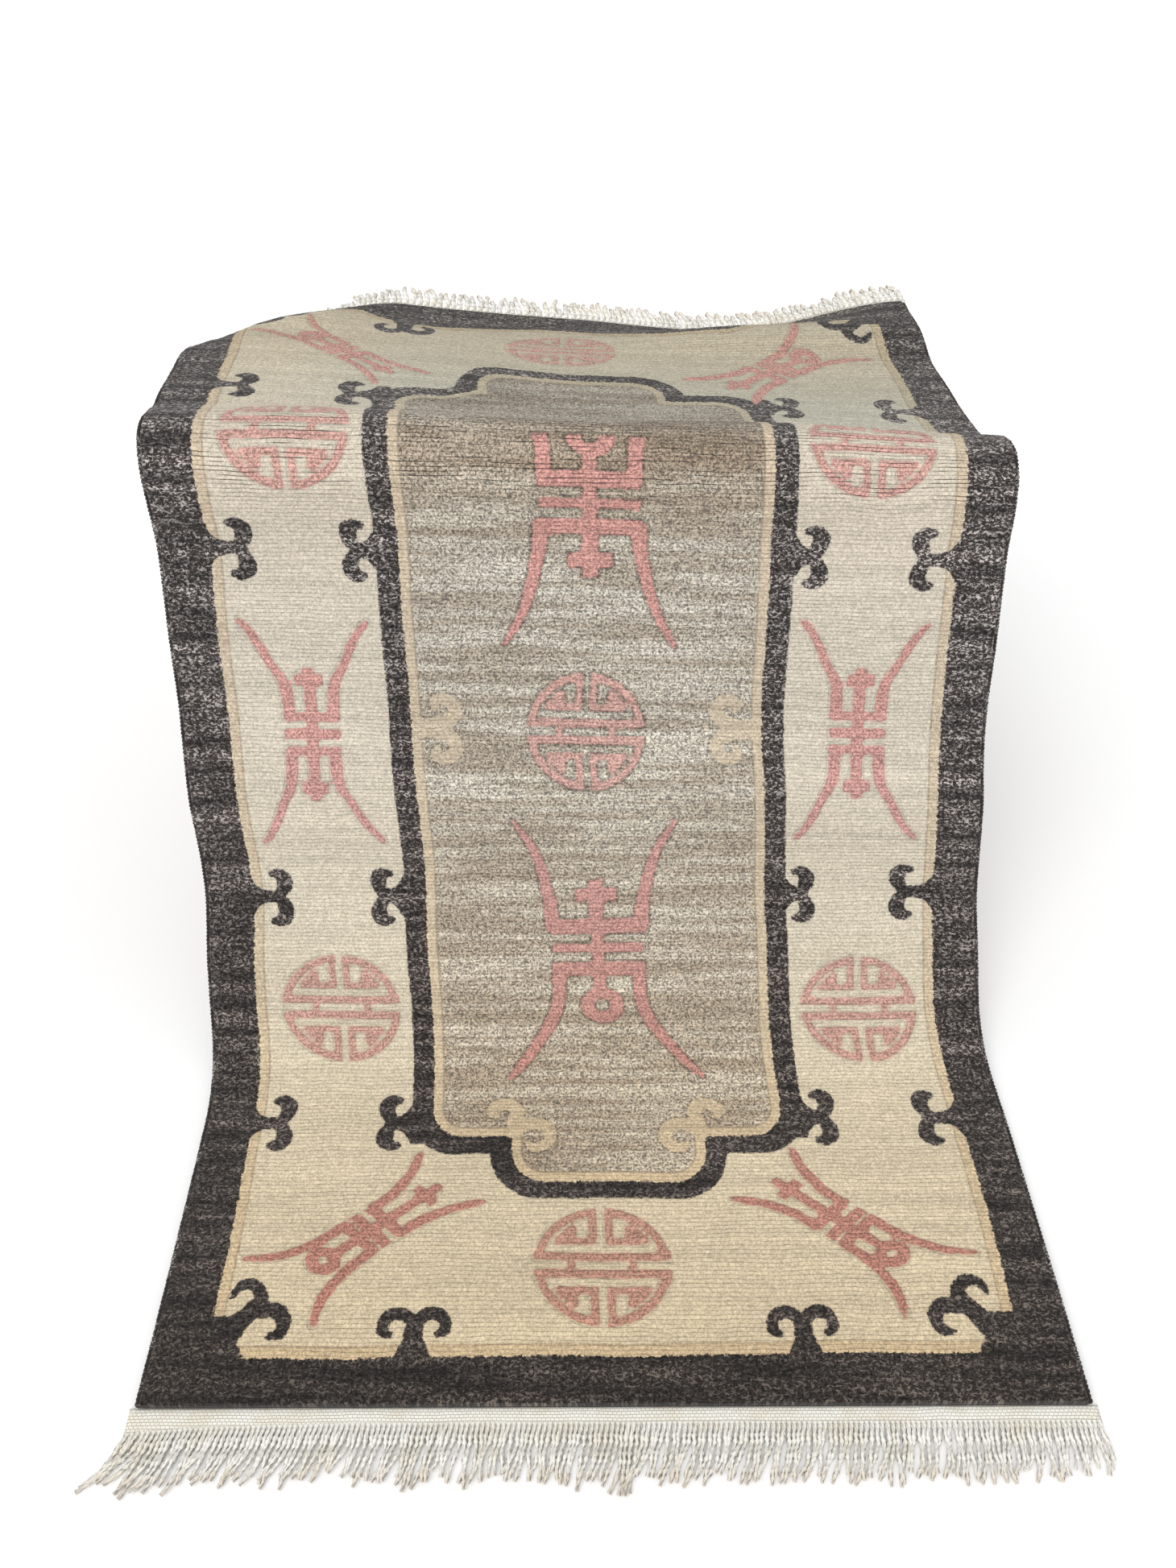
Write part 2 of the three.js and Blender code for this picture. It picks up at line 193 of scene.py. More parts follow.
def unit(vectors):
    return vectors / np.linalg.norm(vectors, axis=-1, keepdims=True)


def drape(across, along):
    """Places on the pile's top in millimetres, with the ways across and out of the pile there."""
    top = pile_top(across, along)
    aside = unit(pile_top(across + PROBE, along) - pile_top(across - PROBE, along))
    onward = unit(pile_top(across, along + PROBE) - pile_top(across, along - PROBE))
    return top, aside, unit(np.cross(aside, onward))


# Outlines of the ornaments, as distances in millimetres that are positive inside
FAR_OFF = 40.0
BEND_STEPS = 4


def union(*shapes):
    return np.maximum.reduce(shapes)


def common(*shapes):
    return np.minimum.reduce(shapes)


def box(x, y, left, right, low, high):
    dx = np.maximum(left - x, x - right)
    dy = np.maximum(low - y, y - high)
    outside = np.hypot(np.maximum(dx, 0), np.maximum(dy, 0))
    return -(outside + np.minimum(np.maximum(dx, dy), 0))


def boxes(x, y, rows):
    """All boxes of a list, each with its left, right, low and high side."""
    return union(*(box(x, y, *row) for row in rows))


def rounded_box(x, y, half_x, half_y, radius):
    return box(x, y, radius - half_x, half_x - radius, radius - half_y, half_y - radius) + radius


def convex(x, y, corners):
    """A convex shape whose corners run clockwise."""
    inside = np.full(x.shape, FAR_OFF)
    for (ax, ay), (bx, by) in zip(corners, corners[1:] + corners[:1]):
        length = math.hypot(bx - ax, by - ay)
        inside = np.minimum(inside, ((by - ay) * (x - ax) - (bx - ax) * (y - ay)) / length)
    return inside


def ellipse(x, y, half_x, half_y):
    share = np.maximum(np.hypot(x / half_x, y / half_y), 0.01)
    return np.hypot(x, y) * (1 / share - 1)


def ring(x, y, half_x, half_y, hole):
    """A thick ring with a small, slightly flat hole."""
    return common(ellipse(x, y, half_x, half_y), -ellipse(x, y, hole, hole * 0.85))


def smooth_way(points):
    """Rows of place and width, with rounded bends between them."""
    rows = np.array(points, float)
    ends = np.concatenate([rows[:1] * 2 - rows[1:2], rows, rows[-1:] * 2 - rows[-2:-1]])
    out = []
    for a, b, c, d in zip(ends[:-3], ends[1:-2], ends[2:-1], ends[3:]):
        for t in np.arange(BEND_STEPS) / BEND_STEPS:
            out.append(0.5 * (2 * b + (c - a) * t + (2 * a - 5 * b + 4 * c - d) * t * t
                              + (3 * b - a - 3 * c + d) * t ** 3))
    return np.array(out + [rows[-1]])


def stroke(x, y, points):
    """A brush stroke through rows of (x, y, width)."""
    best = np.full(x.shape, -FAR_OFF)
    way = smooth_way(points)
    for (ax, ay, a_width), (bx, by, b_width) in zip(way[:-1], way[1:]):
        run_x, run_y = bx - ax, by - ay
        t = np.clip(((x - ax) * run_x + (y - ay) * run_y) / (run_x ** 2 + run_y ** 2), 0, 1)
        gap = np.hypot(x - ax - t * run_x, y - ay - t * run_y)
        best = np.maximum(best, (a_width + (b_width - a_width) * t) / 2 - gap)
    return best


# Ornaments, each about its own middle. Boxes are left, right, low and high, and strokes x, y and width.
ROUND_BOXES = [(-9, 69, 4.5, 13.5), (26.5, 34.5, -9, 5), (4, 12.5, 22, 59), (4, 46, 22, 29.5)]
ROUND_RIM = {"half_x": 64.5, "half_y": 58.5, "half_width": 4.5, "from_x": 4, "from_y": 4.5}
ROUND_WEDGE = [(24.5, 22), (24.5, 42), (30, 44.7), (35, 40), (47.5, 28), (47.5, 22)]

PANEL_BOXES = [(-9, 56, 16, 34), (-9, 55, -6, 5), (-9, 56, -34, -17), (-9, 7.5, -52, 81), (-9, 9, 34, 81),
               (-9, 25, 54, 70)]
PANEL_HORN = [(52.5, 26, 19), (54.5, 49, 16), (59.5, 74, 14), (64, 94, 13), (71, 116, 11), (81.5, 137, 9),
              (93, 156, 6)]
PANEL_LEG = [(48, -25, 16), (48.5, -56, 16), (53, -76, 15.5), (64, -96, 14), (78, -114, 12.5),
             (90, -129, 12), (102, -142, 10), (111, -151, 7)]

SIDE_BOXES = [(-9, 31.5, -9, 6), (-9, 31.5, 14.5, 24.5), (-9, 6.5, -9, 77), (-9, 15.5, 54.5, 69.5)]
SIDE_HORN = [(24.5, 20, 13.5), (25, 41, 13.5), (28, 60, 12), (39, 79.5, 9.5), (47.5, 97, 10),
             (55.5, 111, 9), (64, 122, 8), (69, 127, 6)]

CORNER_BOXES = [(-9, 22, 12, 24), (-9, 25, -5.5, 5.5), (-9, 22, -19.5, -8.5), (-9, 5.5, -45, 86),
                (-9, 14, 60, 72)]
CORNER_HORN = [(21, 18, 11), (21, 39, 11), (23.5, 52, 11), (31, 75, 10), (39.5, 91, 9.5), (45, 100, 6)]
CORNER_LEG = [(21, -14, 11), (21.5, -40, 11), (25, -58, 10), (31, -78, 10), (39, -92, 8.5), (51, -107, 6)]

# Scrolls that grow out of the border or the band, whose stem widens where it leaves it
SCROLL_HOOK = [(-6, 3, 12), (-1, 12, 17), (0, 21, 19), (-6, 28, 14), (-15, 28, 8)]
SCROLL_FLARE = {"stem": 6.5, "wider": 19, "fade": 6.5, "behind": 16, "ahead": 24}
END_STEM = {"y": (41, 58, 75), "half": (18, 10, 8), "low": 36, "high": 78}
END_HORN = [(0, 74, 12), (9, 82, 13), (20, 84, 13), (29, 78, 12), (30, 67, 11), (22, 63, 7)]
CORNER_BLOCK = (-420, -370, -20, 82)
CORNER_UPPER = [(-372, 82), (-370, 82), (-356, 79), (-370, 57), (-372, 57)]
CORNER_LOWER = [(-372, 58), (-370, 57), (-360, 41), (-372, 41)]
CORNER_STEM = [(-378, 66, 24), (-352, 98, 14)]
CORNER_HOOK_UP = [(-352, 92, 14), (-354, 104, 14), (-364, 113, 12), (-376, 112, 10), (-383, 101, 6)]
CORNER_HOOK_IN = [(-350, 86, 14), (-336, 88, 16), (-326, 78, 15), (-329, 65, 12), (-341, 62, 6)]

# Beige curls at the panel's edge, each about the place where it leaves the outline
MID_CURL = [(-30, 3, 16), (-12, 4, 16), (5, 9, 17), (13, 20, 17), (8, 31, 16), (-4, 34, 14), (-12, 29, 11),
            (-8, 22, 7)]
MID_CURL_FLARE = {"stem": 8, "wider": 9, "start": -32, "fade": 7, "ahead": -6}
STEP_CURL_ON = [(2, 5, 16), (5, 19, 16), (9, 32, 16), (-1, 41, 15), (-17, 38, 14), (-22, 30, 11),
                (-14, 25, 7)]
STEP_CURL_ASIDE = [(6, 6, 16), (22, 16, 16), (39, 13, 16), (45, 0, 15), (38, -11, 13), (26, -14, 11),
                   (20, -8, 7)]


def round_longevity(x, y):
    x, y = np.abs(x), np.abs(y)
    rim = ROUND_RIM["half_width"] - np.abs(ellipse(x, y, ROUND_RIM["half_x"], ROUND_RIM["half_y"]))
    rim = common(rim, y - ROUND_RIM["from_y"], x - ROUND_RIM["from_x"])
    return union(boxes(x, y, ROUND_BOXES), rim, convex(x, y, ROUND_WEDGE))


def panel_longevity(x, y):
    side = np.abs(x)
    return union(boxes(side, y, PANEL_BOXES), ring(x - 2, y + 69, 26, 21, 8.5),
                 stroke(side, y, PANEL_HORN), stroke(side, y, PANEL_LEG))


def side_longevity(x, y):
    x, y = np.abs(x), np.abs(y)
    return union(boxes(x, y, SIDE_BOXES), stroke(x, y, SIDE_HORN))


def corner_longevity(x, y):
    side = np.abs(x)
    return union(boxes(side, y, CORNER_BOXES), ring(x + 1, y + 54, 17, 16, 5),
                 stroke(side, y, CORNER_HORN), stroke(side, y, CORNER_LEG))


def flared_stem(x, side, start, shape):
    """A stem that is widest at the start."""
    return shape["stem"] + shape["wider"] * np.exp(-np.maximum(x - start, 0) / shape["fade"]) - side


def scroll_pair(x, y, base):
    """Two hooks that curl back to the border or band, which lies at x = base."""
    side = np.abs(y)
    behind, ahead = base - SCROLL_FLARE["behind"], base + SCROLL_FLARE["ahead"]
    stem = common(flared_stem(x, side, base, SCROLL_FLARE), x - behind, ahead - x)
    return union(stroke(x, side, SCROLL_HOOK), box(x, side, behind, 0, -9, 7), stem)


def end_scroll(x, y):
    side = np.abs(x)
    stem = np.interp(y, END_STEM["y"], END_STEM["half"]) - side
    return union(common(stem, y - END_STEM["low"], END_STEM["high"] - y), stroke(side, y, END_HORN))


def corner_scroll(x, y):
    return union(box(x, y, *CORNER_BLOCK), convex(x, y, CORNER_UPPER), convex(x, y, CORNER_LOWER),
                 *(stroke(x, y, way) for way in (CORNER_STEM, CORNER_HOOK_UP, CORNER_HOOK_IN)))


def mid_curl(x, y):
    side = np.abs(y)
    stem = flared_stem(x, side, MID_CURL_FLARE["start"], MID_CURL_FLARE)
    return union(stroke(x, side, MID_CURL), common(stem, MID_CURL_FLARE["ahead"] - x))


def step_curl(x, y):
    return union(stroke(x, y, STEP_CURL_ON), stroke(x, y, STEP_CURL_ASIDE))


# Each pink ornament, and how far it reaches from its middle
SHAPES = {
    "round": (round_longevity, 75),
    "panel": (panel_longevity, 200),
    "side": (side_longevity, 150),
    "corner": (corner_longevity, 140),
}
SCROLL_REACH = 70
REACH_MARGIN = 1.25
# The ornament, its middle, and where one step of its own x and of its own y goes
PINK_PLACES = [
    ("round", (-8.7, 132.5), (1.03, 0), (0, 0.985)),
    ("round", (-299, 434), (1, 0), (0, 0.99)),
    ("round", (310.8, 433.8), (0.99, 0), (0, 1)),
    ("round", (2.7, 767), (0.95, 0), (0, 1.095)),
    ("round", (-304, 1094), (0.985, 0), (0, 1)),
    ("round", (303, 1095), (0.97, 0), (0, 1)),
    ("round", (-18, 1402), (0.955, 0), (0, 0.75)),
    ("panel", (6, 506), (1, 0), (0, 1)),
    ("panel", (7, 1022), (1, 0), (0, -1)),
    ("side", (-305.5, 760), (1, 0), (0, 1)),
    ("side", (308, 770), (1, 0), (0, 1)),
    ("corner", (-252, 171), (0.802, -0.649), (0.799, 0.602)),
    ("corner", (249, 176), (0.820, 0.641), (-0.809, 0.588)),
    ("corner", (-271, 1350), (-0.63, -0.47), (0.74, -0.72)),
    ("corner", (249, 1362), (-0.86, 0.80), (-0.78, -0.66)),
]
# Middle, how far back the border or band lies from it, and which way the hooks face
SCROLL_PLACES = [
    (-360, 297, -40, 1), (-360, 564, -40, 1), (-360, 965, -40, 1), (-360, 1230, -40, 1),
    (-249, 298, -28, -1), (-249, 564, -28, -1), (-249, 966, -28, -1), (-255, 1225, -32, -1),
    (252, 303, -27, 1), (252, 572, -27, 1), (252, 967.6, -27, 1), (252, 1245, -27, 1),
    (359, 302, -42, -1), (359, 574, -42, -1), (359, 968.7, -42, -1), (359, 1245, -42, -1),
]
NEAR_END_SCROLLS = (-197, 187.7)
FAR_END_SCROLL = {"across": -205, "end": 1520, "shorter": 0.9}
# Which way a corner scroll's x runs and where it starts, and the same for its y
CORNER_SCROLL_PLACES = [(1, 0, 1, 0), (-1, -3, 1, -3), (1, 0, -1, 1541), (-1, 2, -1, 1541)]
# The curl, its middle, and which way its own x runs
CURL_PLACES = [
    (mid_curl, (-157, 767), (1, 0)),
    (mid_curl, (162, 771), (-1, 0)),
    (step_curl, (-108, 280), (1, 0)),
    (step_curl, (108, 280), (-1, 0)),
]

FIELD = {"left": -398, "right": 401, "near_left": 41, "near_right": 45}
FIELD_FAR = {
    "across": (-400, -260, -235, -200, -160, -100, -50, 0, 60, 120, 200, 250, 400),
    "along": (1495, 1495, 1478, 1462, 1461, 1475, 1485, 1480, 1465, 1455, 1455, 1475, 1480),
}
FRAME_LINE = 11
# The far panel ornament is seen only up to the fold
FAR_PANEL = {"half_across": 130, "end": 1250, "fold": 1094}
# The round ornaments are a paler pink, out to this distance from their middles
ROUND_TONE = {"reach": 95, "fade": 10}

# The band around the panel: half its width and length and the corner radius, for its body and its steps
BAND_OUTER = [(223, 509, 52), (131, 562, 55)]
BAND_INNER = [(198, 488, 38), (107, 543, 38)]
BAND_MIDDLE = 768
BAND_SHIFT = {
    "along": (225, 313, 440, 560, 700, 800, 1000, 1200, 1330),
    "shift": (0, 1.5, 7, 4, 5, 2.5, 1.5, -1, -10),
}
FAR_SKEW = {"across": (-200, -150, -115, 0, 200), "skew": (-22, -19, 5, -2, 6), "start": 1150, "full": 1240}


def wander(x, y):
    """The small errors of hand knotting, in millimetres."""
    east = 0.9 * np.sin(x / 47 + y / 83) + 0.6 * np.sin(y / 31 - x / 120 + 2)
    north = 0.8 * np.sin(x / 53 - y / 140 + 1) + 0.5 * np.sin(x / 23 + y / 61)
    return x + east, y + north


def field_inset(x, y):
    near = np.interp(x, [FIELD["left"], FIELD["right"]], [FIELD["near_left"], FIELD["near_right"]])
    far = np.interp(x, FIELD_FAR["across"], FIELD_FAR["along"])
    return common(x - FIELD["left"], FIELD["right"] - x, y - near, far - y)


def band_insets(x, y):
    """How far inside the band's outer and inner edges a place lies."""
    share = np.clip((y - FAR_SKEW["start"]) / (FAR_SKEW["full"] - FAR_SKEW["start"]), 0, 1)
    y = y - np.interp(x, FAR_SKEW["across"], FAR_SKEW["skew"]) * share
    x = x - np.interp(y, BAND_SHIFT["along"], BAND_SHIFT["shift"])
    v = y - BAND_MIDDLE
    return [union(*(rounded_box(x, v, *row) for row in rows)) for rows in (BAND_OUTER, BAND_INNER)]


def lay(field, x, y, shape, middle, side, ahead, reach):
    """Adds one ornament to a field of distances."""
    spread = np.array([side, ahead]).T
    scale = math.sqrt(abs(np.linalg.det(spread)))
    near = np.hypot(x - middle[0], y - middle[1]) < reach * max(1, scale) * REACH_MARGIN
    local = np.linalg.inv(spread) @ np.stack([x[near] - middle[0], y[near] - middle[1]])
    field[near] = np.maximum(field[near], shape(local[0], local[1]) * scale)


def pattern(across, along):
    """The distance fields of the pattern at each place."""
    x, y = wander(across, along)
    pink, dark, curls = np.full((3, *x.shape), -FAR_OFF)
    rounds = np.zeros(x.shape)
    for kind, middle, side, ahead in PINK_PLACES:
        shape, reach = SHAPES[kind]
        lay(pink, x, y, shape, middle, side, ahead, reach)
        if kind == "round":
            away = np.hypot(x - middle[0], y - middle[1])
            rounds = np.maximum(rounds, np.clip((ROUND_TONE["reach"] - away) / ROUND_TONE["fade"], 0, 1))
    in_far_panel = (np.abs(x) < FAR_PANEL["half_across"]) & (y < FAR_PANEL["end"])
    pink = np.where(in_far_panel, np.minimum(pink, FAR_PANEL["fold"] - y), pink)
    for mid_x, mid_y, base, way in SCROLL_PLACES:
        lay(dark, x, y, lambda u, v: scroll_pair(u, v, base), (mid_x, mid_y), (way, 0), (0, 1),
            SCROLL_REACH)
    scrolls = [end_scroll(x - mid_x, y) for mid_x in NEAR_END_SCROLLS]
    from_end = (FAR_END_SCROLL["end"] - y) * FAR_END_SCROLL["shorter"]
    scrolls.append(end_scroll(x - FAR_END_SCROLL["across"], from_end))
    for x_way, x_start, y_way, y_start in CORNER_SCROLL_PLACES:
        scrolls.append(corner_scroll(x_way * x + x_start, y_way * y + y_start))
    for curl, middle, side in CURL_PLACES:
        lay(curls, x, y, curl, middle, side, (0, 1), SCROLL_REACH)
    outer, inner = band_insets(x, y)
    fields = {"field_inset": field_inset(x, y), "band_outer": outer, "band_inner": inner,
              "pink_inset": pink, "dark_inset": union(dark, *scrolls), "curl_inset": common(curls, inner)}
    fields = {name: np.clip(values, -FAR_OFF, FAR_OFF) for name, values in fields.items()}
    return {**fields, "round_share": rounds}


# Meshes
def put(name, data):
    """A new object in the scene, at the origin."""
    thing = bpy.data.objects.new(name, data)
    bpy.context.scene.collection.objects.link(thing)
    return thing


def piece_from(name, points, faces, material):
    """A new piece, from points in millimetres on the rug's own lines."""
    mesh = bpy.data.meshes.new(name)
    mesh.from_pydata((np.asarray(points) * MM + ORIGIN).tolist(), [], faces)
    mesh.shade_smooth()
    mesh.materials.append(material)
    return put(name, mesh)


def add_values(mesh, name, values):
    layer = mesh.attributes.new(name, "FLOAT", "POINT")
    layer.data.foreach_set("value", np.asarray(values, np.float32))


def add_map(mesh, across, along):
    """A flat map of the rug, in which MAP_SPAN millimetres are one step."""
    corners = np.empty(len(mesh.loops), np.int32)
    mesh.loops.foreach_get("vertex_index", corners)
    places = np.stack([(across + HALF) / MAP_SPAN, along / MAP_SPAN], 1)[corners]
    mesh.uv_layers.new(name="rug_map").data.foreach_set("uv", places.astype(np.float32).ravel())


def sheet_faces(columns, rows):
    """Faces of a closed sheet: a fine top grid, and an underside with every second stop."""
    low_columns, low_rows = columns // 2 + 1, rows // 2 + 1
    start = columns * rows

    def top(i, j):
        return j * columns + i

    def under(i, j):
        return start + j * low_columns + i

    faces = [(top(i, j), top(i + 1, j), top(i + 1, j + 1), top(i, j + 1))
             for j in range(rows - 1) for i in range(columns - 1)]
    faces += [(under(i, j + 1), under(i + 1, j + 1), under(i + 1, j), under(i, j))
              for j in range(low_rows - 1) for i in range(low_columns - 1)]

    def wall(upper, lower):
        for k in range(len(lower) - 1):
            a, b, c = upper[2 * k:2 * k + 3]
            faces.extend([(a, lower[k], b), (b, lower[k], lower[k + 1]), (b, lower[k + 1], c)])

    wall([top(i, 0) for i in range(columns)], [under(i, 0) for i in range(low_columns)])
    wall([top(columns - 1, j) for j in range(rows)], [under(low_columns - 1, j) for j in range(low_rows)])
    wall([top(i, rows - 1) for i in reversed(range(columns))],
         [under(i, low_rows - 1) for i in reversed(range(low_columns))])
    wall([top(0, j) for j in reversed(range(rows))], [under(0, j) for j in reversed(range(low_rows))])
    return faces


def edge_stops(low, high, steps, lead):
    """Even stops with a few close ones at both ends, and an odd count in all."""
    inner = np.linspace(low + lead[-1], high - lead[-1], steps + 1)
    near = [low + d for d in (0, *lead[:-1])]
    far = [high - d for d in (*lead[-2::-1], 0)]
    return np.array([*near, *inner, *far])


def sheet_piece(name, across_stops, along_stops, upper, material, stretch=None):
    """A closed sheet that follows the drape, from a depth under the pile's top to the rug's back."""
    across, along = (grid.ravel() for grid in np.meshgrid(across_stops, along_stops))
    low_across, low_along = (grid.ravel() for grid in np.meshgrid(across_stops[::2], along_stops[::2]))
    all_across = np.concatenate([across, low_across])
    all_along = np.concatenate([along, low_along])
    depth = np.concatenate([upper(across, along), np.full(low_across.shape, float(RUG_THICKNESS))])
    if stretch:
        all_along = stretch(all_across, all_along)
    top, _, normal = drape(all_across, all_along)
    faces = sheet_faces(len(across_stops), len(along_stops))
    piece = piece_from(name, top - normal * depth[:, None], faces, material)
    add_map(piece.data, all_across, all_along)
    return piece, all_across, all_along


# The pile
EDGE_ROUND = 3.6
PILE_LEAD = (1.2, 3.4)
PILE_COLUMNS = 200
PILE_ROWS = 346
PILE_SEED = 7
PILE_SINK = 0.6
KNOT_STRAY = 0.22
ROW_STRAY = 0.18
ROW_DRAWS = 2000
ROW_PITCH = 2


def edge_drop(inset):
    """How far a rounded edge drops, by the distance in from it."""
    short = np.clip(EDGE_ROUND - inset, 0, EDGE_ROUND)
    return EDGE_ROUND - np.sqrt(EDGE_ROUND ** 2 - short ** 2)


def pile_depth(across, along):
    """How deep the rounded edges and the uneven knots lie under the pile's top."""
    random = np.random.default_rng(PILE_SEED)
    rows = random.standard_normal(ROW_DRAWS)[np.rint(along / ROW_PITCH).astype(int)]
    knots = random.standard_normal(across.shape)
    inset = common(PILE_HALF - np.abs(across), along, RUG_LENGTH - along)
    inside = np.clip(inset / EDGE_ROUND, 0, 1)
    stray = np.clip(knots * KNOT_STRAY + rows * ROW_STRAY, -PILE_SINK, PILE_SINK) * inside
    return edge_drop(inset) + PILE_SINK * inside + stray


def make_pile(settings):
    across = edge_stops(-PILE_HALF, PILE_HALF, PILE_COLUMNS, PILE_LEAD)
    along = edge_stops(0, RUG_LENGTH, PILE_ROWS, PILE_LEAD)
    piece, *places = sheet_piece("rug_pile", across, along, pile_depth, wool_material(settings))
    for name, values in pattern(*places).items():
        add_values(piece.data, name, values)
    return piece


# The woven bands, which are wider towards the left corner
BAND = {"length": 17, "thickness": 4, "columns": 230, "rows": 8, "seed": 5}
BAND_WIDER = {"share": 0.5, "fade": 90}
BAND_EDGE = {"drop": 1.2, "reach": 2.5}
BAND_STRAY = 0.25


def band_length(across):
    wider = BAND_WIDER["share"] * np.exp(-(np.asarray(across) + HALF) / BAND_WIDER["fade"])
    return BAND["length"] * (1 + wider)


def make_band(name, end, direction, settings):
    near = end + direction * GAP
    stops = np.sort(np.linspace(near, near + direction * BAND["length"], BAND["rows"] + 1))
    across = np.linspace(-HALF, HALF, BAND["columns"] + 1)

    def depth(x, y):
        random = np.random.default_rng(BAND["seed"])
        inset = common(HALF - np.abs(x), y - stops[0], stops[-1] - y)
        edge = BAND_EDGE["drop"] * np.clip(1 - inset / BAND_EDGE["reach"], 0, 1)
        return RUG_THICKNESS - BAND["thickness"] + edge + BAND_STRAY * (random.random(x.shape) - 0.5)

    def stretch(x, y):
        return near + (y - near) * band_length(x) / BAND["length"]

    return sheet_piece(name, across, stops, depth, weave_material(settings), stretch)[0]


# The fringes
NEAR_FRINGE = {
    "strands": 188, "thick": 1.02, "length": 46, "stray": 12, "lean": -12, "splay_left": 22,
    "splay_right": 18, "droop": 0, "wave": 3.6, "pull": 1.6, "seed": 5,
}
FAR_FRINGE = {
    "strands": 110, "thick": 1.55, "length": 50, "stray": 14, "lean": -7, "splay_left": 0,
    "splay_right": 4, "droop": 3, "wave": 3, "pull": 3.0, "seed": 11,
}
# The name of each end, its fringe, where it lies along the rug, and which way it points
ENDS = (("near", NEAR_FRINGE, 0, -1), ("far", FAR_FRINGE, RUG_LENGTH, 1))
STRAND_FLATNESS = 0.7
STRAND_BENDS = 9
ROOT_DEPTH = 3
CLUMP = 5
TIP_PULL = 3
SPLAY_SPREAD = 40
LEAN_STRAY = 1.7
LEAN_WAVE = {"share": 0.3, "span": 70}
SIDE_BEND = 1.6
HIGHEST_LIFT = 2.2


def strand_ways(kind, end, direction, thick):
    """The middle line of each strand of one fringe, in millimetres."""
    random = np.random.default_rng(kind["seed"])
    pitch = (RUG_WIDTH - thick) / (kind["strands"] - 1)
    clumps = kind["strands"] // CLUMP + 2
    pull = random.normal(0, kind["pull"], clumps)
    tip_pull = random.normal(0, TIP_PULL, clumps)
    t = np.linspace(0, 1, STRAND_BENDS + 1)
    ways = []
    for i in range(kind["strands"]):
        across = -HALF + thick / 2 + i * pitch
        clump = i // CLUMP
        start = end + direction * (GAP + band_length(across) - ROOT_DEPTH)
        length = kind["length"] + ROOT_DEPTH + kind["stray"] * (random.random() - 0.5) + tip_pull[clump]
        waving = 1 + LEAN_WAVE["share"] * math.sin(across / LEAN_WAVE["span"])
        lean = (kind["lean"] * waving + pull[clump] + random.normal(0, LEAN_STRAY)
                - kind["splay_left"] * math.exp(-(HALF + across) / SPLAY_SPREAD)
                + kind["splay_right"] * math.exp(-(HALF - across) / SPLAY_SPREAD))
        phase = random.random() * 6
        wave = kind["wave"] * random.uniform(0.4, 1.3)
        lift = random.uniform(0, HIGHEST_LIFT)
        side = across + lean * t ** SIDE_BEND + wave * np.sin(phase + 5 * t) * t
        top, _, normal = drape(np.full_like(t, across), start + direction * length * t)
        _, aside, _ = drape(np.full_like(t, across), np.full_like(t, start))
        rise = -RUG_THICKNESS + thick / 2 + lift * np.sin(np.minimum(t * 3, 1) * 1.5)
        way = top + aside * (side - across)[:, None] + normal * rise[:, None]
        if kind["droop"]:
            curl = kind["droop"] * random.uniform(0.3, 1.4)
            way[:, 2] += -curl * t ** 2 + wave * 0.5 * np.sin(phase * 2 + 4 * t) * t
        ways.append(way)
    return ways


def guide_curves(name, ways):
    """Curves along the given ways, for a node tree to follow."""
    data = bpy.data.curves.new(name, "CURVE")
    data.dimensions = "3D"
    for way in ways:
        spline = data.splines.new("POLY")
        spline.points.add(len(way) - 1)
        places = np.concatenate([way * MM + ORIGIN, np.ones((len(way), 1))], 1)
        spline.points.foreach_set("co", places.astype(np.float32).ravel())
    return put(name, data)


def grown_piece(name, ways, tree, material, values):
    """Runs a node tree on guide curves, and keeps the result as a plain mesh."""
    guide = guide_curves(name + "_guide", ways)
    modifier = guide.modifiers.new("grow", "NODES")
    modifier.node_group = tree
    sockets = {item.name: item.identifier for item in tree.interface.items_tree if item.in_out == "INPUT"}
    for label, value in {**values, "Material": material}.items():
        modifier[sockets[label]] = value
    guide.update_tag()
    bpy.context.view_layer.update()
    depsgraph = bpy.context.evaluated_depsgraph_get()
    mesh = bpy.data.meshes.new_from_object(guide.evaluated_get(depsgraph), depsgraph=depsgraph)
    guide.modifiers.remove(modifier)
    data = guide.data
    bpy.data.objects.remove(guide)
    bpy.data.curves.remove(data)
    mesh.name = name
    return put(name, mesh)


# Node benches
class Signal:
    """What a node puts out, which makes a node of each sum or product with another signal or a number."""

    def __init__(self, bench, socket):
        self.bench = bench
        self.socket = socket

    def __add__(self, other):
        return self.bench.math("ADD", self, other)

    def __sub__(self, other):
        return self.bench.math("SUBTRACT", self, other)

    def __rsub__(self, other):
        return self.bench.math("SUBTRACT", other, self)

    def __mul__(self, other):
        return self.bench.math("MULTIPLY", self, other)

    def swing(self, amount):
        """A factor about 1, from a signal about a half."""
        return (self - 0.5) * amount + 1.0

    def step(self, low, high):
        """0 below low, 1 above high, smooth between."""
        return self.bench.out("ShaderNodeMapRange", 0, {"interpolation_type": "SMOOTHSTEP"}, Value=self,
                              From_Min=low, From_Max=high)


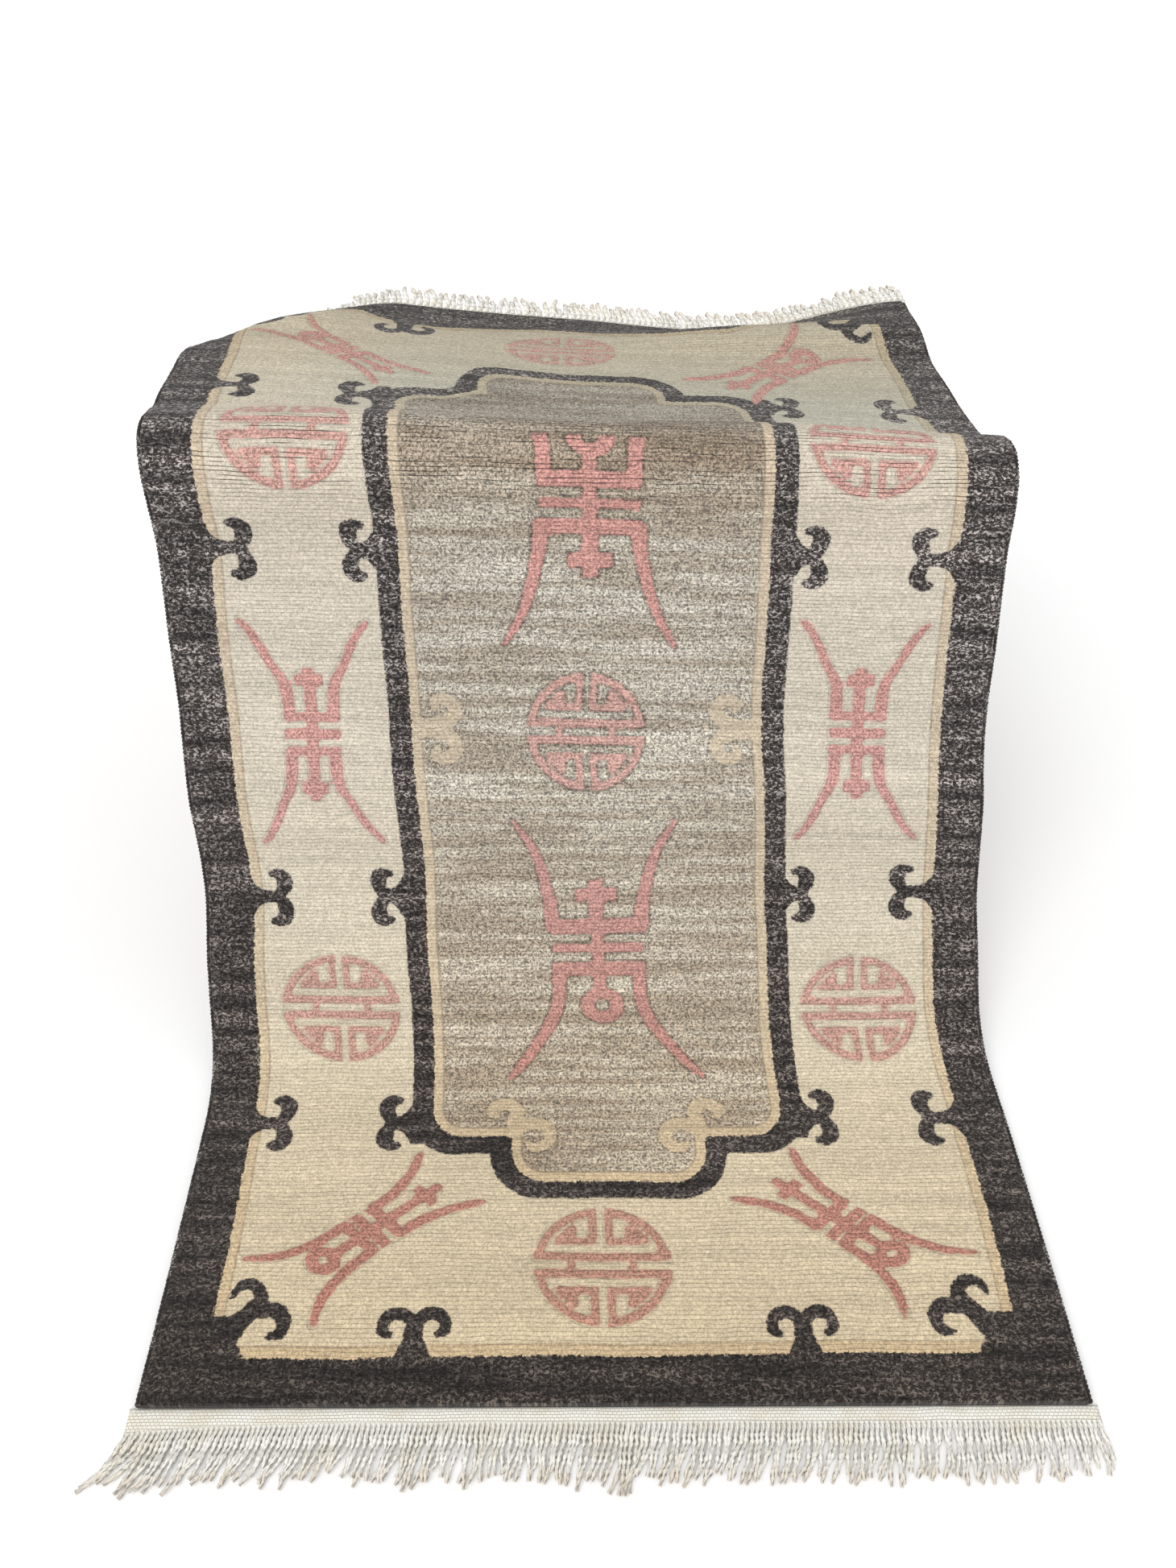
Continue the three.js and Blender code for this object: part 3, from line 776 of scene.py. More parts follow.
class Bench:
    """Adds nodes to one tree. Their inputs are signals or plain values, with _ for a space in a name."""

    def __init__(self, tree):
        self.tree = tree

    def feed(self, socket, value):
        if isinstance(value, Signal):
            self.tree.links.new(value.socket, socket)
        else:
            socket.default_value = value

    def add(self, kind, settings=None, **inputs):
        node = self.tree.nodes.new(kind)
        for key, value in (settings or {}).items():
            setattr(node, key, value)
        for label, value in inputs.items():
            self.feed(node.inputs[label.replace("_", " ")], value)
        return node

    def signals(self, node):
        """All outputs of a node, by name."""
        return {socket.name: Signal(self, socket) for socket in node.outputs}

    def out(self, kind, output, settings=None, **inputs):
        """One output of a new node."""
        return Signal(self, self.add(kind, settings, **inputs).outputs[output])

    def listed(self, kind, operation, values, **settings):
        """The first output of a new node whose inputs are fed in order."""
        node = self.add(kind, {"operation": operation, **settings})
        for socket, value in zip(node.inputs, values):
            self.feed(socket, value)
        return Signal(self, node.outputs[0])

    def math(self, operation, *values, clamp=False):
        return self.listed("ShaderNodeMath", operation, values, use_clamp=clamp)

    def vector(self, operation, *values):
        return self.listed("ShaderNodeVectorMath", operation, values)

    def scale(self, colour, factor):
        return self.out("ShaderNodeVectorMath", 0, {"operation": "SCALE"}, Vector=colour, Scale=factor)

    def mix(self, factor, first, second, blend="MIX"):
        """A mix of two colours, which lie on the node's seventh and eighth input and third output."""
        node = self.add("ShaderNodeMix", {"data_type": "RGBA", "blend_type": blend})
        for place, value in ((0, factor), (6, first), (7, second)):
            self.feed(node.inputs[place], value)
        return Signal(self, node.outputs[2])

    def tinted(self, colour, tint):
        return self.mix(1.0, colour, opaque(tint), "MULTIPLY")

    def noise(self, place, scale, detail=2.0, roughness=0.5, output="Fac"):
        return self.out("ShaderNodeTexNoise", output, Vector=place, Scale=scale, Detail=detail,
                        Roughness=roughness)

    def value(self, name):
        return self.out("ShaderNodeAttribute", "Fac", {"attribute_name": name})

    def parts(self, vector):
        return self.signals(self.add("ShaderNodeSeparateXYZ", Vector=vector))

    def joined(self, x, y, z):
        return self.out("ShaderNodeCombineXYZ", 0, X=x, Y=y, Z=z)

    def millimetres(self):
        """Object coordinates in millimetres."""
        here = self.out("ShaderNodeTexCoord", "Object")
        return self.vector("MULTIPLY", here, (1 / MM, 1 / MM, 1 / MM))

    def tones(self, share, stops, tint):
        """One wool's colour along the rug, with painted light and shade in it, turned by a user's tint."""
        node = self.add("ShaderNodeValToRGB")
        elements = node.color_ramp.elements
        while len(elements) < len(stops):
            elements.new(0.5)
        for element, (place, steps) in zip(elements, stops):
            element.position = place
            element.color = paint(*steps)
        self.feed(node.inputs[0], share)
        return self.tinted(Signal(self, node.outputs["Color"]), tint)

    def group(self, name, **inputs):
        """What a shared group puts out."""
        return self.signals(self.add("ShaderNodeGroup", {"node_tree": shared_group(name)}, **inputs))


def linear(red, green, blue):
    """A colour in steps of 0 to 255, as linear numbers."""
    steps = np.array((red, green, blue)) / 255
    bright = np.where(steps <= 0.04045, steps / 12.92, ((steps + 0.055) / 1.055) ** 2.4)
    return tuple(float(v) for v in bright)


def opaque(colour):
    return (*tuple(colour)[:3], 1.0)


def paint(red, green, blue):
    return opaque(linear(red, green, blue))


def new_tree(name, kind, inputs, outputs):
    """A tree's bench and the signals of its inputs. A socket is its sort, and its default if it has one."""
    tree = bpy.data.node_groups.new(name, kind)
    for way, sockets in (("INPUT", inputs), ("OUTPUT", outputs)):
        for label, (sort, *default) in sockets.items():
            socket = tree.interface.new_socket(label, in_out=way, socket_type="NodeSocket" + sort)
            if default:
                socket.default_value = default[0]
    bench = Bench(tree)
    return bench, bench.signals(bench.add("NodeGroupInput"))


# Node trees that grow geometry
SHAPE_SOCKET = {"Geometry": ("Geometry",)}
KEEP_NUMBER = {"data_type": "FLOAT", "domain": "POINT"}
BEAD_LENGTH = 1.35


def close_tree(bench, given, geometry):
    real = bench.out("GeometryNodeRealizeInstances", 0, Geometry=geometry)
    smooth = bench.out("GeometryNodeSetShadeSmooth", 0, Geometry=real)
    painted = bench.out("GeometryNodeSetMaterial", 0, Geometry=smooth, Material=given["Material"])
    bench.add("NodeGroupOutput", Geometry=painted)
    return bench.tree


def strand_tree():
    """Twisted two-ply strands along guide curves."""
    bench, given = new_tree("Twisted strands", "GeometryNodeTree", {
        **SHAPE_SOCKET,
        "Thickness": ("Float", 0.004),
        "Flatness": ("Float", STRAND_FLATNESS),
        "Twist": ("Float", 200.0),
        "Tip share": ("Float", 0.75),
        "Material": ("Material",),
    }, SHAPE_SOCKET)
    way = bench.signals(bench.add("GeometryNodeSplineParameter"))
    kept = bench.out("GeometryNodeStoreNamedAttribute", 0, KEEP_NUMBER, Geometry=given["Geometry"],
                     Name="strand_way", Value=way["Length"])
    turned = bench.out("GeometryNodeSetCurveTilt", 0, Curve=kept, Tilt=way["Length"] * given["Twist"])
    share = bench.out("ShaderNodeMapRange", 0, Value=way["Factor"], To_Min=1.0, To_Max=given["Tip share"])
    circle = bench.out("GeometryNodeCurvePrimitiveCircle", 0, Resolution=6, Radius=given["Thickness"] * 0.5)
    flat = bench.joined(1.0, given["Flatness"], 1.0)
    around = bench.out("GeometryNodeTransform", 0, Geometry=circle, Scale=flat)
    turn = bench.out("GeometryNodeSplineParameter", "Factor")
    profile = bench.out("GeometryNodeStoreNamedAttribute", 0, KEEP_NUMBER, Geometry=around,
                        Name="strand_turn", Value=turn)
    swept = bench.out("GeometryNodeCurveToMesh", 0, Curve=turned, Profile_Curve=profile, Scale=share,
                      Fill_Caps=True)
    return close_tree(bench, given, swept)


def stitch_tree():
    """Slanted overcast stitches in a close row along a guide curve."""
    bench, given = new_tree("Overcast stitches", "GeometryNodeTree", {
        **SHAPE_SOCKET,
        "Pitch": ("Float", 0.0044),
        "Diameter": ("Float", 0.0086),
        "Slant": ("Float", 0.5),
        "Seed": ("Int", 3),
        "Material": ("Material",),
    }, SHAPE_SOCKET)
    even = bench.out("GeometryNodeResampleCurve", 0, {"mode": "LENGTH"}, Curve=given["Geometry"],
                     Length=given["Pitch"])
    bead = bench.out("GeometryNodeMeshUVSphere", 0, Segments=8, Rings=5, Radius=0.5)
    tangent = bench.out("GeometryNodeInputTangent", 0)
    aim = bench.out("FunctionNodeAlignRotationToVector", 0, {"axis": "Z"}, Vector=tangent)
    turn = bench.out("FunctionNodeEulerToRotation", 0, Euler=bench.joined(given["Slant"], 0.0, 0.0))
    slanted = bench.out("FunctionNodeRotateRotation", 0, {"rotation_space": "LOCAL"}, Rotation=aim,
                        Rotate_By=turn)
    stray = bench.add("FunctionNodeRandomValue", {"data_type": "FLOAT"}, Seed=given["Seed"])
    bench.feed(stray.inputs[2], 0.9)
    bench.feed(stray.inputs[3], 1.0)
    wide = given["Diameter"] * Signal(bench, stray.outputs[1])
    size = bench.joined(wide, wide, given["Pitch"] * BEAD_LENGTH)
    beads = bench.out("GeometryNodeInstanceOnPoints", 0, Points=even, Instance=bead, Rotation=slanted,
                      Scale=size)
    return close_tree(bench, given, beads)


def make_fringe(name, kind, end, direction, settings):
    thick = settings.fringe.thickness * kind["thick"]
    ways = strand_ways(kind, end, direction, thick / MM)
    values = {"Thickness": thick, "Twist": settings.fringe.twist}
    return grown_piece(name, ways, strand_tree(), strand_material(settings), values)


def selvedge_way(side):
    radius = SELVEDGE["diameter"] / 2
    along = np.clip(np.linspace(0, RUG_LENGTH, SELVEDGE["stops"]), radius / 2, RUG_LENGTH - radius / 2)
    top, aside, normal = drape(np.full_like(along, side * PILE_HALF), along)
    return top - normal * RUG_THICKNESS / 2 + aside * side * (radius + SELVEDGE["gap"] - SELVEDGE["tuck"])


def make_selvedge(name, side, settings):
    values = {"Pitch": settings.pile.row, "Slant": 0.5 * side, "Seed": 3 + side}
    return grown_piece(name, [selvedge_way(side)], stitch_tree(), overcast_material(settings), values)


# The table: bevels and the square block at a leg's top in millimetres, and a foot's share of the leg
LEG_BEVEL = 4
RAIL_BEVEL = 2.5
BEVEL_STEPS = 3
MERGE_SPAN = 0.01
LEG_BLOCK = 90
FOOT_SHARE = 0.72
FOOT_START = 0.42


def taper_leg(copy, node):
    """Makes a leg thinner towards the floor, from below the square block that meets the rails."""
    low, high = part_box(node)
    bmesh.ops.bisect_plane(copy, geom=[*copy.verts, *copy.edges, *copy.faces],
                           plane_co=(0, 0, high[2] - LEG_BLOCK * MM), plane_no=(0, 0, 1))
    centre_x, centre_y = (low[0] + high[0]) / 2, (low[1] + high[1]) / 2
    for vert in copy.verts:
        if vert.co.z < low[2] + (high[2] - low[2]) * FOOT_START:
            vert.co.x = centre_x + (vert.co.x - centre_x) * FOOT_SHARE
            vert.co.y = centre_y + (vert.co.y - centre_y) * FOOT_SHARE


def softened(node, name, bevel, material, taper=False):
    """A copy of a table part with eased edges."""
    copy = bmesh.new()
    copy.from_mesh(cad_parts[node].data)
    bmesh.ops.remove_doubles(copy, verts=copy.verts, dist=MERGE_SPAN * MM)
    bmesh.ops.dissolve_limit(copy, angle_limit=math.radians(1), verts=copy.verts, edges=copy.edges)
    if taper:
        taper_leg(copy, node)
    sharp = [edge for edge in copy.edges if edge.calc_face_angle(0) > math.radians(40)]
    bmesh.ops.bevel(copy, geom=sharp, offset=bevel * MM, segments=BEVEL_STEPS, profile=0.6, affect="EDGES")
    bmesh.ops.recalc_face_normals(copy, faces=copy.faces)
    mesh = bpy.data.meshes.new(name)
    copy.to_mesh(mesh)
    copy.free()
    mesh.materials.append(material)
    return put(name, mesh)


# Groups of nodes that the materials use
def fill_fibres(bench, given):
    """Wool fibres: how bright each lies, light flecks among them, and their height."""
    place = given["Place"]
    fine = bench.math("DIVIDE", 1.0, given["Fibre"])
    bent = bench.vector("MULTIPLY_ADD", bench.noise(place, 0.11, output="Color"), (9, 9, 9), place)
    drawn_out = bench.vector("ADD", bench.vector("MULTIPLY", bent, (0.6, 1, 1)), (41, 17, 5))
    coarse = bench.noise(bent, fine, 3.0, 0.62)
    flecks = bench.noise(drawn_out, fine * 0.95, 2.0, 0.7)
    tuft = bench.noise(place, fine * 0.36, 1.0)
    bench.add("NodeGroupOutput", Shade=coarse.step(0.36, 0.64), Fleck=flecks.step(0.50, 0.62),
              Height=tuft * 0.8 + coarse)


def fill_knots(bench, given):
    """Rows of knots: a chance value for each knot and each row, and lines between rows."""
    drift = bench.noise(given["Place"], 0.012, 3.0, output="Color")
    place = bench.vector("MULTIPLY_ADD", drift, (6, 9, 0), given["Place"])
    cell = bench.vector("DIVIDE", place, bench.joined(given["Knot"], given["Row"], 1.0))
    whole = bench.vector("FLOOR", cell)
    chance = bench.out("ShaderNodeTexWhiteNoise", "Value", {"noise_dimensions": "2D"}, Vector=whole)
    row_chance = bench.out("ShaderNodeTexWhiteNoise", "Value", {"noise_dimensions": "1D"},
                           W=bench.parts(whole)["Y"])
    off = bench.math("ABSOLUTE", bench.parts(bench.vector("FRACTION", cell))["Y"] - 0.5)
    bench.add("NodeGroupOutput", Chance=chance, Row_chance=row_chance, Line=off.step(0.3, 0.5))


def fill_cotton(bench, given):
    """Undyed cotton: its colour with soft stains and fine specks of painted shade, from a place in
    millimetres.
    """
    patch = bench.noise(given["Place"], 0.022, 3.0, 0.6)
    fine = bench.noise(given["Place"], 0.9, 2.0, 0.6)
    colour = bench.mix(patch.step(0.4, 0.66), given["Clean"], given["Stained"])
    # Fine specks of painted shade over the cotton
    bench.add("NodeGroupOutput", Color=bench.mix(fine.step(0.5, 0.72) * 0.12, colour, (0.42, 0.38, 0.3, 1)))


def fill_wood(bench, given):
    """Wood grain along a piece's long side: dark lines, broad figure and small pores."""
    place = bench.vector("MULTIPLY", bench.out("ShaderNodeTexCoord", "Object"), given["Stretch"])
    rings = bench.math("SINE", bench.noise(place, 14.0, 5.0, 0.6) * 42.0)
    pore = bench.noise(place, 240.0)
    bench.add("NodeGroupOutput", Figure=rings * 0.5 + 0.5, Pore=pore.step(0.56, 0.7))


# What fills each group, then its inputs and its outputs
SHADER_GROUPS = {
    "Wool fibres": (fill_fibres, {"Place": ("Vector",), "Fibre": ("Float", 2.4)},
                    {"Shade": ("Float",), "Fleck": ("Float",), "Height": ("Float",)}),
    "Knot rows": (fill_knots, {"Place": ("Vector",), "Knot": ("Float", 3.4), "Row": ("Float", 4.39)},
                  {"Chance": ("Float",), "Line": ("Float",), "Row chance": ("Float",)}),
    "Cotton tone": (fill_cotton, {"Place": ("Vector",), "Clean": ("Color", (1, 1, 1, 1)),
                                  "Stained": ("Color", (1, 1, 1, 1))}, {"Color": ("Color",)}),
    "Wood grain": (fill_wood, {"Stretch": ("Vector",)}, {"Figure": ("Float",), "Pore": ("Float",)}),
}


def shared_group(name):
    """The named group, which is built when it is first asked for."""
    if name not in bpy.data.node_groups:
        fill, inputs, outputs = SHADER_GROUPS[name]
        fill(*new_tree(name, "ShaderNodeTree", inputs, outputs))
    return bpy.data.node_groups[name]


# Colours along the rug, from the near end, with painted light and shade in them: the light wools warmer at
# the near end and darker at the fold and beyond it, the dark wool and its flecks lighter up the slope as
# painted sheen
CREAM_TONES_AND_SHADE = [(0.0, (214, 196, 164)), (0.16, (216, 201, 172)), (0.35, (213, 203, 183)),
               (0.55, (209, 200, 184)), (0.70, (212, 201, 183)), (0.80, (207, 197, 176)),
               (0.90, (194, 182, 158)), (1.0, (186, 175, 152))]
PANEL_TONES_AND_SHADE = [(0.0, (178, 161, 138)), (0.22, (188, 173, 152)), (0.45, (190, 180, 165)),
               (0.62, (188, 179, 165)), (0.68, (180, 167, 150)), (0.70, (163, 146, 127)),
               (0.735, (160, 150, 135)), (1.0, (152, 144, 129))]
DARK_TONES_AND_SHEEN = [(0.0, (44, 38, 35)), (0.35, (50, 44, 42)), (0.6, (56, 50, 48)), (0.72, (56, 50, 48)),
              (1.0, (44, 40, 38))]
FLECK_TONES_AND_SHEEN = [(0.0, (150, 138, 128)), (0.35, (182, 172, 166)), (0.6, (212, 204, 200)),
               (0.72, (206, 198, 192)), (1.0, (160, 152, 144))]
PINK_TONES_AND_SHADE = [(0.0, (180, 124, 106)), (0.16, (186, 134, 120)), (0.4, (198, 152, 145)),
              (0.7, (201, 149, 140)), (1.0, (180, 138, 124))]
# How strongly the fibres show in each wool
GRAIN = {"cream": 0.42, "frame_line": 0.5, "panel": 1.25, "dark": 1.5, "pink": 0.85}
# The panel's streaks, and the thin brown rules inside the frame lines
STREAK_TINTS = {"brown": (0.78, 0.755, 0.73), "grey": (1.02, 1.06, 1.09)}
RULE = {"width": 1.8, "strength": 0.34, "field": (120, 96, 72), "panel": (110, 92, 76)}
# The shade on the cream beyond the fold, and where the fold opens the rows, whose gaps get painted shade
FAR_SHADE = {"start": 1130, "full": 1210, "ease": 1260, "gone": 1420, "left": -340, "right": -180,
             "tint": (0.80, 0.85, 0.88)}
FOLD_OPEN = {"start": 1015, "full": 1045, "end": 1112, "gone": 1150}
# Where the flecks in the dark wool grow denser along the rug, as painted sheen from the near end onto the
# slope, and by how much towards the right
FLECKS_DENSER_AND_SHEEN = {"start": 150.0, "full": 560.0, "aside": 0.12}
EDGE_SOFTNESS = 0.7
CARVED_AT = -0.6

WOOL_FINISH = {"Roughness": 0.96, "Specular IOR Level": 0.15, "Sheen Weight": 0.12, "Sheen Roughness": 0.6}
OVERCAST_FINISH = {"Roughness": 0.95, "Specular IOR Level": 0.15, "Sheen Weight": 0.12}
WEAVE_FINISH = {"Roughness": 0.92, "Specular IOR Level": 0.2}
STRAND_FINISH = {"Roughness": 0.9, "Specular IOR Level": 0.2}
FLOOR_FINISH = {"Roughness": 0.9, "Specular IOR Level": 0.1}


def new_material(name):
    """A material, the bench of its tree, and its surface shader."""
    material = bpy.data.materials.new(name)
    material.use_nodes = True
    return material, Bench(material.node_tree), material.node_tree.nodes["Principled BSDF"]


def rug_place(bench):
    """Millimetres across and along the rug."""
    flat = bench.out("ShaderNodeUVMap", 0, {"uv_map": "rug_map"})
    return bench.vector("MULTIPLY", flat, (MAP_SPAN, MAP_SPAN, MAP_SPAN))


def finish(bench, surface, values, colour, height=None, strength=0.0, distance=0.0):
    """Feeds a surface's colour and relief, and sets its plain values."""
    bench.feed(surface.inputs["Base Color"], colour)
    if height:
        relief = bench.out("ShaderNodeBump", 0, Strength=strength, Distance=distance, Height=height)
        bench.feed(surface.inputs["Normal"], relief)
    for label, value in values.items():
        surface.inputs[label].default_value = value


def wool_material(settings):
    """The pile, with its pattern, streaks and flecks, and a carved line around the ornaments. Painted shade
    lies in the carved line, between the rows and where the fold opens them, and painted light and shade in
    the colours along the rug.
    """
    material, bench, surface = new_material("knotted_wool")
    mix = bench.mix
    wool = settings.wool
    place = rug_place(bench)
    parts = bench.parts(place)
    along = parts["Y"]
    aside = parts["X"] - float(HALF)
    share = bench.math("DIVIDE", along, float(RUG_LENGTH))
    fibre = bench.group("Wool fibres", Place=place)
    knots = bench.group("Knot rows", Place=place, Knot=settings.pile.knot / MM, Row=settings.pile.row / MM)
    chance, line, shade = knots["Chance"], knots["Line"], fibre["Shade"]
    wobble = (chance - 0.5) * 1.5 + (shade - 0.5) * 1.4

    def inside(name, inset=0.0):
        return (bench.value(name) + wobble).step(inset - EDGE_SOFTNESS, inset + EDGE_SOFTNESS)

    def near_line(name, inset, width):
        return 1.0 - bench.math("ABSOLUTE", bench.value(name) - inset).step(width * 0.3, width)

    def streaks(across, onward, detail, roughness):
        return bench.noise(bench.vector("MULTIPLY", place, (across, onward, 0)), 1.0, detail, roughness)

    def grained(colour, name):
        return bench.scale(colour, (shade - 0.5) * GRAIN[name] + 1.0)

    streak = streaks(0.0045, 0.058, 6.0, 0.6)
    broad = streaks(0.0022, 0.012, 2.0, 0.5)
    patchy = streaks(0.03, 0.2, 2.0, 0.5)

    # The wools' colours along the rug carry painted light and shade, and painted sheen on the dark wool up
    # the slope
    cream = bench.tones(share, CREAM_TONES_AND_SHADE, wool.cream)
    beyond = along.step(FAR_SHADE["start"], FAR_SHADE["full"])
    beyond = beyond * aside.step(FAR_SHADE["left"], FAR_SHADE["right"])
    beyond = beyond * (along.step(FAR_SHADE["ease"], FAR_SHADE["gone"]) * -0.7 + 1.0)
    cream = mix(beyond, cream, bench.tinted(cream, FAR_SHADE["tint"]))
    frame_line = grained(bench.tinted(cream, wool.frame_line), "frame_line")
    panel = bench.tones(share, PANEL_TONES_AND_SHADE, wool.panel)
    panel = mix(streak.step(0.40, 0.60), *(bench.tinted(panel, tint) for tint in STREAK_TINTS.values()))
    panel = grained(panel, "panel")
    banded = streak.step(0.34, 0.68)
    dark = grained(bench.tones(share, DARK_TONES_AND_SHEEN, wool.dark), "dark")
    dark = bench.scale(dark, banded * 0.9 + 0.55)
    # Denser light flecks from the near end onto the slope: painted sheen on the dark wool
    denser = along.step(FLECKS_DENSER_AND_SHEEN["start"], FLECKS_DENSER_AND_SHEEN["full"]) * 0.55 + 0.85
    denser = aside * (FLECKS_DENSER_AND_SHEEN["aside"] / HALF) + denser
    flecked = bench.math("MULTIPLY", fibre["Fleck"] * (banded * 0.62 + 0.14), denser, clamp=True)
    dark = mix(flecked, dark, bench.tones(share, FLECK_TONES_AND_SHEEN, wool.dark))
    pink = bench.tones(share, PINK_TONES_AND_SHADE, wool.pink)
    pink = grained(mix(bench.value("round_share"), pink, mix(0.16, pink, cream)), "pink")

    def rule(colour, name, tone):
        drawn = near_line(name, FRAME_LINE, RULE["width"]) * RULE["strength"]
        return mix(drawn, colour, paint(*RULE[tone]))

    colour = mix(inside("field_inset"), dark, frame_line)
    colour = mix(inside("field_inset", FRAME_LINE), colour, grained(cream, "cream"))
    colour = rule(colour, "field_inset", "field")
    colour = mix(inside("band_outer"), colour, dark)
    colour = mix(inside("band_inner"), colour, frame_line)
    colour = mix(inside("band_inner", FRAME_LINE), colour, panel)
    colour = rule(colour, "band_inner", "panel")
    colour = mix(inside("curl_inset") * 0.86, colour, frame_line)
    colour = mix(inside("dark_inset"), colour, dark)
    colour = mix(inside("pink_inset"), colour, pink)

    # Painted shade in the lines between rows of knots
    row_gap_shade = line * patchy.step(0.4, 0.62)
    # Painted shade in the carved line around the ornaments, deeper in the panel; the same mask also sinks
    # the relief
    carved = bench.math("MAXIMUM", near_line("pink_inset", CARVED_AT, 2.2),
                        near_line("curl_inset", CARVED_AT, 1.8) * 0.5) * patchy.step(0.3, 0.6)
    in_panel = bench.value("band_inner").step(0.0, 3.0)
    fold = along.step(FOLD_OPEN["start"], FOLD_OPEN["full"]) * (
        1.0 - along.step(FOLD_OPEN["end"], FOLD_OPEN["gone"]))
    # Painted shade in the gaps between rows where the fold opens them; the same mask also sinks the relief
    shaded_crack = line.step(0.55, 0.9) * streaks(0.016, 0.3, 3.0, 0.6).step(0.49, 0.58) * fold
    light = chance.swing(0.12) * knots["Row chance"].swing(0.08) * (row_gap_shade * -0.2 + 1.01)
    light = light * streak.swing(0.45) * broad.swing(0.2)
    light = light * (1.0 - carved * (in_panel * 0.3 + 0.1)) * (shaded_crack * -0.88 + 1.0)
    height = line * -0.55 + fibre["Height"] + chance * 0.35 - carved + shaded_crack * -1.5
    finish(bench, surface, WOOL_FINISH, bench.scale(colour, light), height, 0.75, 0.0016)
    return material


def overcast_material(settings):
    material, bench, surface = new_material("overcast_wool")
    place = bench.millimetres()
    fibre = bench.group("Wool fibres", Place=place, Fibre=1.8)
    worn = bench.noise(place, 0.03, 3.0, 0.6).step(0.42, 0.62)
    dark = bench.tinted(paint(50, 44, 42), settings.wool.dark)
    colour = bench.mix(fibre["Fleck"] * worn, dark, paint(196, 190, 182))
    colour = bench.scale(colour, fibre["Shade"] * 0.5 + 0.75)
    finish(bench, surface, OVERCAST_FINISH, colour, fibre["Height"], 0.7, 0.0012)
    return material


def cotton_colour(bench, place, settings):
    return bench.group("Cotton tone", Place=place, Clean=opaque(settings.fringe.colour),
                       Stained=opaque(settings.fringe.stain))["Color"]


def weave_material(settings):
    material, bench, surface = new_material("flatwoven_cotton")
    place = rug_place(bench)
    bent = bench.vector("MULTIPLY_ADD", bench.noise(place, 0.02, output="Color"), (4, 3, 0), place)
    # The bricks' darker mortar is painted shade in the gaps between the woven threads
    bricks = bench.signals(bench.add(
        "ShaderNodeTexBrick", {"offset": 0.5}, Vector=bent, Scale=1.0, Brick_Width=4.2, Row_Height=2.9,
        Mortar_Size=0.3, Mortar_Smooth=1.0, Bias=0.0, Color1=(1, 1, 1, 1), Color2=(0.93, 0.92, 0.88, 1),
        Mortar=(0.62, 0.58, 0.5, 1)))
    colour = bench.mix(1.0, cotton_colour(bench, place, settings), bricks["Color"], "MULTIPLY")
    finish(bench, surface, WEAVE_FINISH, colour, 1.0 - bricks["Fac"], 0.7, 0.001)
    return material


# How far along a strand it is from one ply to the next, in metres
PLY_SPAN = 0.008


def strand_material(settings):
    material, bench, surface = new_material("twisted_cotton")
    way = bench.value("strand_way")
    turned = way * (1 / PLY_SPAN) + bench.value("strand_turn") * 2.0
    ply = bench.math("ABSOLUTE", bench.math("SINE", turned * math.pi))
    colour = cotton_colour(bench, bench.millimetres(), settings)
    colour = bench.mix(way.step(0.036, 0.052) * 0.35, colour, paint(206, 184, 158))
    # Painted shade in the groove between the two plies
    colour = bench.mix((1.0 - ply.step(0.0, 0.55)) * 0.34, colour, paint(150, 140, 124))
    finish(bench, surface, STRAND_FINISH, colour, ply, 0.6, 0.001)
    return material


def wood_material(name, stretch, settings):
    material, bench, surface = new_material(name)
    grain = bench.group("Wood grain", Stretch=stretch)
    pale = opaque(settings.table.colour)
    colour = bench.mix(grain["Figure"] * 0.6, pale, bench.tinted(pale, (0.55, 0.46, 0.4)))
    colour = bench.mix(grain["Pore"] * 0.5, colour, paint(60, 40, 26))
    bench.feed(surface.inputs["Roughness"], grain["Pore"] * 0.2 + 0.48)
    finish(bench, surface, {}, colour, grain["Pore"] * -0.6 + grain["Figure"] * 0.2, 0.3, 0.0006)
    return material


# The stage: which way the light shines, how wide it is in degrees, and the floor in metres
SUN = {"shines": (0.35, 0.62, -1), "spread": 50}
FLOOR = {"reach": 8, "height": -0.0005}


def make_floor():
    material, bench, surface = new_material("pale_floor")
    cloud = bench.noise(bench.out("ShaderNodeTexCoord", "Object"), 1.5)
    colour = bench.mix(cloud, opaque((0.96, 0.96, 0.96)), opaque((1.0, 1.0, 1.0)))
    finish(bench, surface, FLOOR_FINISH, colour)
    reach, height = FLOOR["reach"], FLOOR["height"]
    corners = [(x * reach, y * reach, height) for x, y in ((-1, -1), (1, -1), (1, 1), (-1, 1))]
    mesh = bpy.data.meshes.new("stage_floor")
    mesh.from_pydata(corners, [], [(0, 1, 2, 3)])
    mesh.materials.append(material)
    return put("stage_floor", mesh)


def make_lights(scene, settings):
    data = bpy.data.lights.new("soft_sun", "SUN")
    data.energy = settings.key
    data.angle = math.radians(SUN["spread"])
    put("soft_sun", data).rotation_euler = Vector(SUN["shines"]).to_track_quat("-Z", "Y").to_euler()
    scene.world = bpy.data.worlds.new("pale_surroundings")
    scene.world.use_nodes = True
    background = scene.world.node_tree.nodes["Background"]
    background.inputs["Color"].default_value = (1, 1, 1, 1)
    background.inputs["Strength"].default_value = settings.sky


# The settings a user can change
def length_setting(name, description, default):
    return bpy.props.FloatProperty(name=name, description=description, default=default, min=0.001,
                                   unit="LENGTH")


def colour_setting(name, description, default=(1.0, 1.0, 1.0)):
    return bpy.props.FloatVectorProperty(name=name, description=description, default=default, min=0, max=1,
                                         subtype="COLOR")


class PileSettings(bpy.types.PropertyGroup):
    """The rug's knots."""

    knot: length_setting("Knot width", "Width of one knot", 0.0034)
    row: length_setting("Row height", "Height of one row of knots", 0.00439)


